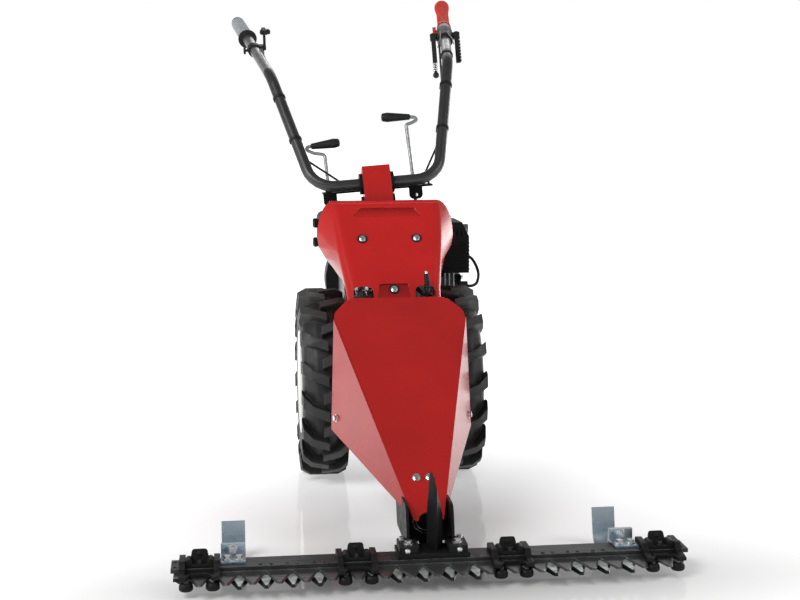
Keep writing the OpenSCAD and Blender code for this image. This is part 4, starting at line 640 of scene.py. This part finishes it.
def add_guard_noses():
    """Rounded noses beside each hold-down, on tongues under the comb."""
    shape = Shape()
    for x in (hold + side for hold in HOLD_XS for side in (-NOSE_SIDE, NOSE_SIDE)):
        shape.lathe((x, NOSE_Y, NOSE_Z), UP, NOSE, 32)
        shape.slab((x, (NOSE_Y + TONGUE_BACK) / 2, NOSE_Z), (RIGHT, BACK, UP),
                   TONGUE_HALF, (TONGUE_BACK - NOSE_Y) / 2, TONGUE_HEIGHT, TONGUE_CHAMFER)
    made = shape.piece("guard_noses", "chassis", "black_casting")
    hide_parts("lower_guards")


TAB_OUT = Vector((0.0, -0.9511, 0.3090))
TAB_HOLE = Vector((0.0, BAR_FRONT_Y + 0.0334, 0.05546))
STUD = ((0.0024, 0.0), (0.0024, 0.0042), (0.0044, 0.0043), (0.0042, 0.0056), (0.0024, 0.0066))
STUD_DEEP = 0.0022
CLAMP_XS = (-0.0455, 0.0440)
CLAMP_Y, CLAMP_Z = BAR_FRONT_Y + 0.0050, 0.0530
CLAMP_HEAD = ((0.0052, 0.0), (0.0050, 0.0012), (0.0040, 0.0024), (0.0018, 0.0030))


def add_tab_plugs():
    """Studs in the tabs of the hold-downs, and round heads on the front of the hitch's clamps."""
    studs = Shape()
    for x in HOLD_XS:
        studs.lathe(TAB_HOLE + Vector((x, 0.0, 0.0)) - TAB_OUT * STUD_DEEP, TAB_OUT, STUD, 20)
    studs.piece("tab_studs", "chassis", "black_casting")
    heads = Shape()
    for x in CLAMP_XS:
        heads.lathe((x, CLAMP_Y, CLAMP_Z), FRONT, CLAMP_HEAD)
    heads.piece("clamp_heads", "chassis", "fasteners")


COVER_Y, COVER_Z = BAR_FRONT_Y + 0.119, 0.078
COVER = ((0.0300, 0.0), (0.0300, 0.008), (0.0285, 0.0105), (0.0240, 0.0115),
         (0.0235, 0.0135), (0.0150, 0.0148), (0.0145, 0.0135), (0.0060, 0.0145))
STRAP_AT = (0.0, BAR_FRONT_Y + 0.1185, 0.0715)
STRAP_SIZE = (0.0369, 0.0355, 0.006, 0.001)

# Each bead's radius and how far it stands out, and its section about that radius
BEADS = ((0.0242, 0.0112), (0.0190, 0.0138))
BEAD = ((-0.0010, -0.0010), (0.0010, -0.0010), (0.0010, 0.0008), (0.0, 0.0013), (-0.0010, 0.0008))


def add_drive_cover():
    """Round cover in front of the swing arm, on a strap between the hitch's cheeks."""
    shape = Shape()
    shape.lathe((0.0, COVER_Y, COVER_Z), FRONT, COVER, 40)
    shape.slab(STRAP_AT, (RIGHT, DOWN, FRONT), *STRAP_SIZE)
    shape.piece("drive_cover", "chassis", "black_paint")
    rims = Shape()
    for radius, out in BEADS:
        rims.lathe((0.0, COVER_Y - out, COVER_Z), FRONT, [(radius + r, h) for r, h in BEAD], 48, True)
    rims.piece("cover_rims", "chassis", "axle_steel")


# Hood

# Depth of the dish round the low bolt
DISH = 0.0022
# Each bolt's place: sideways, up the slope and out of it
HOOD_BOLTS = ((-0.058, 0.169409, 0.0), (0.058, 0.169409, 0.0), (0.0, 0.0382536, -DISH))
BOLT_RING = ((0.0080, 0.0), (0.0110, 0.0), (0.0113, 0.0012), (0.0106, 0.0022), (0.0080, 0.0022))
LIP_HALF, LIP_UP, LIP_OUT = 0.116, 0.2688, -0.0022
LIP_RADIUS, LIP_TAPER = 0.0052, 0.0030
LIP_STEPS = 12


def on_hood(x, up, out=0.0):
    """Place on the hood's front face: sideways, up the slope and out of it."""
    return HOOD_FOOT + Vector((x, 0.0, 0.0)) + HOOD_UP * up + HOOD_OUT * out


def add_hood_trim():
    """Rubber rings under the hood's bolts, and the rolled lip along its top."""
    rings = Shape()
    for place in HOOD_BOLTS:
        rings.lathe(on_hood(*place), HOOD_OUT, BOLT_RING, 32, True)
    rings.piece("hood_rings", "chassis", "black_plastic")
    lip = Shape()
    steps = [i / LIP_STEPS - 1.0 for i in range(2 * LIP_STEPS + 1)]
    lip.tube([on_hood(LIP_HALF * t, LIP_UP, LIP_OUT) for t in steps],
             [LIP_RADIUS - LIP_TAPER * t ** 8 for t in steps])
    lip.piece("hood_lip", "chassis", "red_plastic")


# Each rod's place across and the height of its top
LINKAGE = ((-0.078, 0.440), (-0.056, 0.437))
LINKAGE_Y = -0.068
LINKAGE_RADIUS = 0.0038
LINKAGE_BENDS = (0.008, 0.008)
LINKAGE_NUT = ((0.0040, 0.0), (0.0072, 0.0008), (0.0072, 0.0102), (0.0040, 0.011))
LINKAGE_NUT_Z = 0.422
BOOT_ROUTE = ((0.048, 0.012, 0.406), (0.050, 0.010, 0.422), (0.064, -0.100, 0.414),
              (0.068, -0.118, 0.424), (0.066, -0.104, 0.458))
BOOT_BENDS = (0.008, 0.012, 0.010)
BOOT_RADIUS = 0.0048
BELLOWS, BELLOWS_BACK, BELLOWS_STEP = 5, 0.030, 0.006
BELLOW_RADIUS, BELLOW_TAPER, BELLOW_ROOT = 0.0074, 0.0005, 0.0046
BOOT_TIP = ((0.0030, -0.001), (0.0030, 0.005), (0.0022, 0.0065))


def add_notch_controls():
    """The linkage in the hood's left notch and the boot in its right one."""
    rods = Shape()
    for x, top in LINKAGE:
        corners = ((x * 0.7, 0.012, 0.406), (x * 0.72, 0.012, 0.420),
                   (x, LINKAGE_Y, 0.413), (x, LINKAGE_Y, top))
        rods.tube(rounded_route(corners, LINKAGE_BENDS), LINKAGE_RADIUS)
        rods.lathe((x, LINKAGE_Y, LINKAGE_NUT_Z), UP, LINKAGE_NUT, 6)
    rods.piece("left_linkage", "chassis", "fasteners")
    boot = Shape()
    route = rounded_route(BOOT_ROUTE, BOOT_BENDS)
    boot.tube(route, BOOT_RADIUS)
    way = (route[-1] - route[-2]).normalized()
    for i in range(BELLOWS):
        wide = BELLOW_RADIUS - BELLOW_TAPER * i
        boot.lathe(route[-1] - way * (BELLOWS_BACK - BELLOWS_STEP * i), way,
                   [(BELLOW_ROOT, 0.0), (wide, 0.001), (wide, 0.003), (BELLOW_ROOT, 0.004)], 18)
    boot.piece("right_boot", "chassis", "black_plastic")
    tip = Shape()
    tip.lathe(route[-1], way, BOOT_TIP, 16)
    tip.piece("boot_tip", "chassis", "fasteners")


# Handlebar and controls

THROTTLE_ROUTE = ((-0.256283, 0.502976, 0.943845), (-0.219749, 0.293057, 0.832138),
                  (-0.169996, 0.188077, 0.688725), (-0.085991, 0.161281, 0.633369),
                  (-0.084791, 0.161281, 0.617414))
CLUTCH_ROUTE = ((0.176667, 0.476381, 0.961435), (0.156689, 0.291764, 0.862252),
                (0.128941, 0.186784, 0.713011), (0.095497, 0.161281, 0.647015),
                (0.096697, 0.161281, 0.631060))
REVERSE_ROUTE = ((0.184694, 0.478986, 0.951636), (0.167911, 0.293134, 0.859201),
                 (0.140163, 0.188154, 0.709961), (0.106466, 0.161281, 0.647840),
                 (0.107666, 0.161281, 0.631885))
CABLE_RADIUS = 0.0025
CABLE_BENDS = (0.040, 0.040, 0.008)
CABLE_CUTS = 6
FERRULE = ((0.0026, 0.0), (0.0038, 0.0004), (0.0038, 0.012),
           (0.0032, 0.0135), (0.0032, 0.0230), (0.0026, 0.0235))


def add_cables():
    """Smooth cable sheaths in place of the CAD cables, which bend between the bar and the fixed plate."""
    ferrules = Shape()
    for name, node, routes in (("throttle_sheath", "throttle_cable", (THROTTLE_ROUTE,)),
                               ("clutch_sheaths", "clutch_cables", (CLUTCH_ROUTE, REVERSE_ROUTE))):
        shape = Shape()
        for route in routes:
            path = rounded_route(route, CABLE_BENDS)
            fine = [a.lerp(b, i / CABLE_CUTS) for a, b in zip(path, path[1:]) for i in range(CABLE_CUTS)]
            shape.tube(fine + [path[-1]], CABLE_RADIUS)
            way = Vector(route[1]) - Vector(route[0])
            ferrules.lathe(route[0], way, FERRULE, 20, True)
        made = shape.piece(name, None, "cable_sheath", shading=WIRY)
        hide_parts(node)
        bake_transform(made)
    ferrules.piece("cable_ferrules", "handlebar", "fasteners", RODS)


THROTTLE_SIDE = Vector((0.987523, 0.138871, 0.0742522))
THROTTLE_UP = Vector((0.116141, -0.323845, 0.938954))
THROTTLE_KNOB = Vector((-0.2470, 0.4985, 0.9800))
TEE_SIZE = (0.0118, 0.0062, 0.0105, 0.0018)
TEE_RIBS, TEE_RIB_STEP, TEE_RIB_UP = 4, 0.0048, 0.0100
TEE_RIB_SIZE = (0.0013, 0.0050, 0.0016, 0.0005)


def add_throttle_tee():
    """Cross piece of the throttle's knob, ribbed on top."""
    shape = Shape()
    axes = (THROTTLE_SIDE, THROTTLE_UP.cross(THROTTLE_SIDE), THROTTLE_UP)
    shape.slab(THROTTLE_KNOB, axes, *TEE_SIZE)
    for i in range(TEE_RIBS):
        across = THROTTLE_SIDE * (i - (TEE_RIBS - 1) / 2) * TEE_RIB_STEP
        shape.slab(THROTTLE_KNOB + THROTTLE_UP * TEE_RIB_UP + across, axes, *TEE_RIB_SIZE)
    shape.piece("throttle_tee", "throttle_lever", "black_plastic")


CLAMP = Vector((0.194674, 0.502031, 0.974473))
BAR_WAY = Vector((-0.106347, -0.935863, -0.335933))
BAR_SIDE = Vector((0.987523, -0.138871, 0.0742522))
BAR_UP = Vector((-0.116141, -0.323845, 0.938954))
COLLAR = ((0.0127, 0.0), (0.0150, 0.0005), (0.0178, 0.016),
          (0.0182, 0.036), (0.0166, 0.0385), (0.0127, 0.0388))
COLLAR_AT, BAND_AT = -0.0695, -0.0745
BAND = ((0.0171, 0.0), (0.0178, 0.0004), (0.0178, 0.0034), (0.0171, 0.0038))
TRIGGER_AT, TRIGGER_SIZE = (-0.078, -0.0245, -0.004), (0.0042, 0.0075, 0.034, 0.0016)
STALK_AT, STALK_SIZE = (-0.047, -0.0170, -0.002), (0.0050, 0.0050, 0.0098, 0.0012)
LEFT_CLIP = ((0.012, -0.010, 0.0172), (0.0335, -0.010, 0.0172),
             (0.0345, -0.0135, -0.004), (0.0345, -0.020, -0.016))
RIGHT_CLIP = ((0.012, 0.008, 0.0182), (0.0335, 0.008, 0.0182),
              (0.0345, 0.0175, 0.004), (0.0345, 0.0200, -0.010))
CLIP_BENDS = (0.004, 0.006)
CLIP_RADIUS = 0.0013
CLAMP_HALF = 0.0235
CLAMP_BOLT = (0.0036, 0.0034)
CLAMP_BOLT_AT, CLAMP_BOLT_SHARE = -0.012, 0.83


def on_clamp(along, side=0.0, up=0.0):
    """Place beside the right clamp: along the tube towards the machine, sideways and up."""
    return CLAMP + BAR_WAY * along + BAR_SIDE * side + BAR_UP * up


def add_right_controls():
    """Pale collar, grip band, red trigger and wire clips round the right-hand clamp."""
    collar = Shape()
    collar.lathe(on_clamp(COLLAR_AT), BAR_WAY, COLLAR, 32, True)
    collar.piece("lever_collar", "handlebar", "cast_alloy", PALE_ALLOY)
    band = Shape()
    band.lathe(on_clamp(BAND_AT), BAR_WAY, BAND, 32, True)
    band.piece("grip_band", "handlebar", "red_grip", LOOKS["dark_red_paint"])
    trigger = Shape()
    trigger.slab(on_clamp(*TRIGGER_AT), (BAR_SIDE, BAR_UP, BAR_WAY), *TRIGGER_SIZE)
    trigger.slab(on_clamp(*STALK_AT), (BAR_WAY, BAR_UP, -BAR_SIDE), *STALK_SIZE)
    trigger.piece("trigger", "handlebar", "red_grip")
    clips = Shape()
    for corners in (LEFT_CLIP, RIGHT_CLIP):
        clips.tube(rounded_route([on_clamp(*c) for c in corners], CLIP_BENDS), CLIP_RADIUS, 8)
    for side in (-CLAMP_HALF, CLAMP_HALF):
        clips.bolt(on_clamp(CLAMP_BOLT_AT, side * CLAMP_BOLT_SHARE), BAR_SIDE * side, *CLAMP_BOLT)
    clips.piece("clamp_clips", "handlebar", "fasteners", RODS)


# Engine and wheels

ENGINE_Y = 0.143281
SHAFT_Z = 0.400
RIBS, RIB_Z, RIB_STEP = 8, 0.4375, 0.0085
RIB_SIZE = (0.0021, 0.0026, 0.0009)
FRONT_RIB_X, FRONT_RIB_Y, FRONT_RIB_HALF = 0.1545, ENGINE_Y + 0.0002, 0.0395
SIDE_RIB_X, SIDE_RIB_Y, SIDE_RIB_HALF = 0.1968, ENGINE_Y + 0.062, 0.054
SCREW_HEIGHT = 0.006

# Rings of screws: spread, place, way, head radius and the turns in degrees
SCREW_RINGS = ((0.101, ENGINE_Y + 0.2200, SHAFT_Z, BACK, 0.0048, (45, 135, 225, 315)),
               (0.079, 0.10728, SHAFT_Z, FRONT, 0.0050, (25, 60, 120, 155)),
               (0.040, -0.121719, 0.235, FRONT, 0.0048, (30, 90, 150, 210, 270, 330)),
               (0.031, 0.073281, 0.450, BACK, 0.0052, (205, 270, 335)))
COVER_SCREW = (0.0042, 0.005)
COVER_SCREW_X = 0.192
COVER_SCREW_YS = (ENGINE_Y + 0.086, ENGINE_Y + 0.126)
COVER_SCREW_ZS = (SHAFT_Z - 0.018, SHAFT_Z + 0.010)
DRAIN_PLUG_AT = (-0.088, ENGINE_Y + 0.040, 0.312)
DRAIN_PLUG = ((0.0095, 0.0), (0.0095, 0.006), (0.0080, 0.0075))
OIL_CAP_AT = (-0.088, ENGINE_Y + 0.105, 0.330)
OIL_CAP = ((0.0150, 0.0), (0.0150, 0.004), (0.0120, 0.006), (0.0120, 0.016), (0.0090, 0.0185))
FILTER_KNOBS = ((-0.138, ENGINE_Y + 0.100, 0.496), (-0.138, ENGINE_Y + 0.100, 0.540))
FILTER_KNOB = ((0.0050, 0.0), (0.0110, 0.001), (0.0120, 0.008), (0.0090, 0.012))
OUTLET_AT = (0.197, ENGINE_Y + 0.095, 0.523)
OUTLET = ((0.0080, 0.0), (0.0105, 0.0), (0.0105, 0.012), (0.0080, 0.012))


def add_engine_details():
    """Ribs of the silencer's guard, screws, drain plug, oil cap, filter knobs and outlet."""
    ribs = Shape()
    for i in range(RIBS):
        z = RIB_Z + RIB_STEP * i
        ribs.slab((FRONT_RIB_X, FRONT_RIB_Y, z), (RIGHT, DOWN, FRONT), FRONT_RIB_HALF, *RIB_SIZE)
        ribs.slab((SIDE_RIB_X, SIDE_RIB_Y, z), (BACK, UP, RIGHT), SIDE_RIB_HALF, *RIB_SIZE)
    ribs.piece("guard_ribs", "chassis", "black_paint")
    screws = Shape()
    for spread, y, z, way, radius, turns in SCREW_RINGS:
        for turn in map(math.radians, turns):
            screws.bolt((spread * math.cos(turn), y, z + spread * math.sin(turn)), way, radius, SCREW_HEIGHT)
    for y in COVER_SCREW_YS:
        for z in COVER_SCREW_ZS:
            screws.bolt((COVER_SCREW_X, y, z), RIGHT, *COVER_SCREW)
    screws.lathe(DRAIN_PLUG_AT, LEFT, DRAIN_PLUG, 6)
    screws.piece("engine_screws", "chassis", "fasteners")
    caps = Shape()
    caps.lathe(OIL_CAP_AT, LEFT, OIL_CAP, 10)
    for at in FILTER_KNOBS:
        caps.lathe(at, LEFT, FILTER_KNOB, 8)
    caps.piece("engine_caps", "chassis", "black_plastic")
    outlet = Shape()
    outlet.lathe(OUTLET_AT, RIGHT, OUTLET, joined=True)
    outlet.piece("exhaust_outlet", "chassis", "axle_steel")


DISC_X = 0.163
STEM_Y, STEM_Z = AXLE[1] + 0.050, AXLE[2] + 0.058
STEM = ((0.0060, 0.0), (0.0058, 0.006), (0.0042, 0.010), (0.0040, 0.022), (0.0030, 0.0235))
WASHER = ((0.0128, 0.0), (0.0230, 0.0), (0.0230, 0.0028), (0.0128, 0.0028))


def add_wheel_details():
    """Valve stems, and washers round the axle's ends."""
    stems, washers = Shape(), Shape()
    for side in (-1, 1):
        way = (side, 0, 0)
        stems.lathe((side * DISC_X, STEM_Y, STEM_Z), way, STEM, 16)
        washers.lathe((side * DISC_X, AXLE[1], AXLE[2]), way, WASHER, 32, True)
    stems.piece("valve_stems", "wheels", "black_plastic")
    washers.piece("axle_washers", "wheels", "fasteners")


# Light and floor

# Each light's name, place, target, size and power in watts
LIGHTS = (("key", (-2.4, -2.0, 3.0), (0.0, 0.0, 0.3), (2.2, 1.6), 100.0),
          ("fill", (2.8, -1.6, 2.2), (0.0, 0.0, 0.4), (1.2, 2.2), 38.0),
          ("side", (-3.2, -0.6, 1.3), (0.0, -0.3, 0.3), (1.4, 1.4), 18.0),
          ("rim", (0.6, 3.2, 2.6), (0.0, 0.2, 0.6), (2.4, 1.0), 16.0),
          ("edge", (2.9, 2.6, 0.8), (0.0, -0.2, 0.4), (1.0, 1.4), 22.0))
SKY_FADE = (0.12, 0.6, 0.55, 0.25)
FLOOR_HALF = 30.0
FLOOR_DROP = 0.0005
FLOOR_ROUGH = 0.07
# The second floor colour is a shadow painted onto the floor near the bar
FLOOR_PALE, FLOOR_SHADOW = (0.95, 0.95, 0.95), (0.52, 0.515, 0.51)

# A patch of floor: its middle, and how far each axis counts
GLOW_PATCH = ((0.0, -0.5, 0.0), (0.8, 1.0, 0.0))
GLOW = (0.20, 1.25, 0.06, 1.0)
GLOW_ONLY = (1.2, 4.5)
# The patch where the floor's shadow is painted, in front of the bar
SHADOW_PATCH = ((0.0, BAR_FRONT_Y - 0.05, 0.0), (0.30, 1.9, 0.0))
SHADOW_END = (0.04, 0.55)


def add_light(name, at, target, size, power):
    data = bpy.data.lights.new(name, "AREA")
    data.shape = "RECTANGLE"
    data.size, data.size_y = size
    data.energy = power
    light = bpy.data.objects.new(name, data)
    at = Vector(at)
    turn = (Vector(target) - at).to_track_quat("-Z", "Y").to_matrix().to_4x4()
    light.matrix_world = Matrix.Translation(at) @ turn
    scene.collection.objects.link(light)


def add_world():
    """Backdrop that is white to the camera, and a dimmer light that falls off towards the top."""
    world = bpy.data.worlds.new("studio")
    world.use_nodes = True
    tree = world.node_tree
    back = tree.nodes["Background"]
    back.inputs["Color"].default_value = WHITE
    rise = tree.nodes.new("ShaderNodeSeparateXYZ")
    tree.links.new(tree.nodes.new("ShaderNodeTexCoord").outputs["Generated"], rise.inputs[0])
    fade = tree.nodes.new("ShaderNodeMapRange")
    fade.interpolation_type = "SMOOTHSTEP"
    set_span(fade, SKY_FADE)
    tree.links.new(rise.outputs["Z"], fade.inputs["Value"])
    seen = tree.nodes.new("ShaderNodeMath")
    seen.operation = "MAXIMUM"
    tree.links.new(fade.outputs["Result"], seen.inputs[0])
    tree.links.new(tree.nodes.new("ShaderNodeLightPath").outputs["Is Camera Ray"], seen.inputs[1])
    tree.links.new(seen.outputs[0], back.inputs["Strength"])
    scene.world = world


def add_floor():
    """Pale glossy floor that glows into the backdrop with distance, with a shadow painted on it by the bar.
    """
    mesh = bpy.data.meshes.new("floor")
    made = bmesh.new()
    bmesh.ops.create_grid(made, x_segments=2, y_segments=2, size=FLOOR_HALF)
    made.to_mesh(mesh)
    made.free()
    floor = bpy.data.objects.new("floor", mesh)
    floor.location = (0.0, 0.0, -FLOOR_DROP)
    n = Nodes("floor")
    away = n.reach(*GLOW_PATCH)
    n.put(n.shader.inputs["Emission Strength"], n.span(away, *GLOW))
    # Painted shadow: the floor colour darkens towards the bar
    pale = n.mix(n.span(n.reach(*SHADOW_PATCH), *SHADOW_END), FLOOR_SHADOW, FLOOR_PALE)
    n.surface(n.mix(n.span(away, *GLOW_ONLY), pale, (0.0, 0.0, 0.0)), FLOOR_ROUGH,
              Emission_Color=WHITE, Specular_IOR_Level=0.5)
    mesh.materials.append(n.mat)
    scene.collection.objects.link(floor)


add_camera()
dress_nodes()
add_bar_rivets()
add_guard_noses()
add_tab_plugs()
add_drive_cover()
add_hood_trim()
add_notch_controls()
add_cables()
add_throttle_tee()
add_right_controls()
add_engine_details()
add_wheel_details()
add_world()
for light in LIGHTS:
    add_light(*light)
add_floor()
scene.view_settings.view_transform = "Standard"
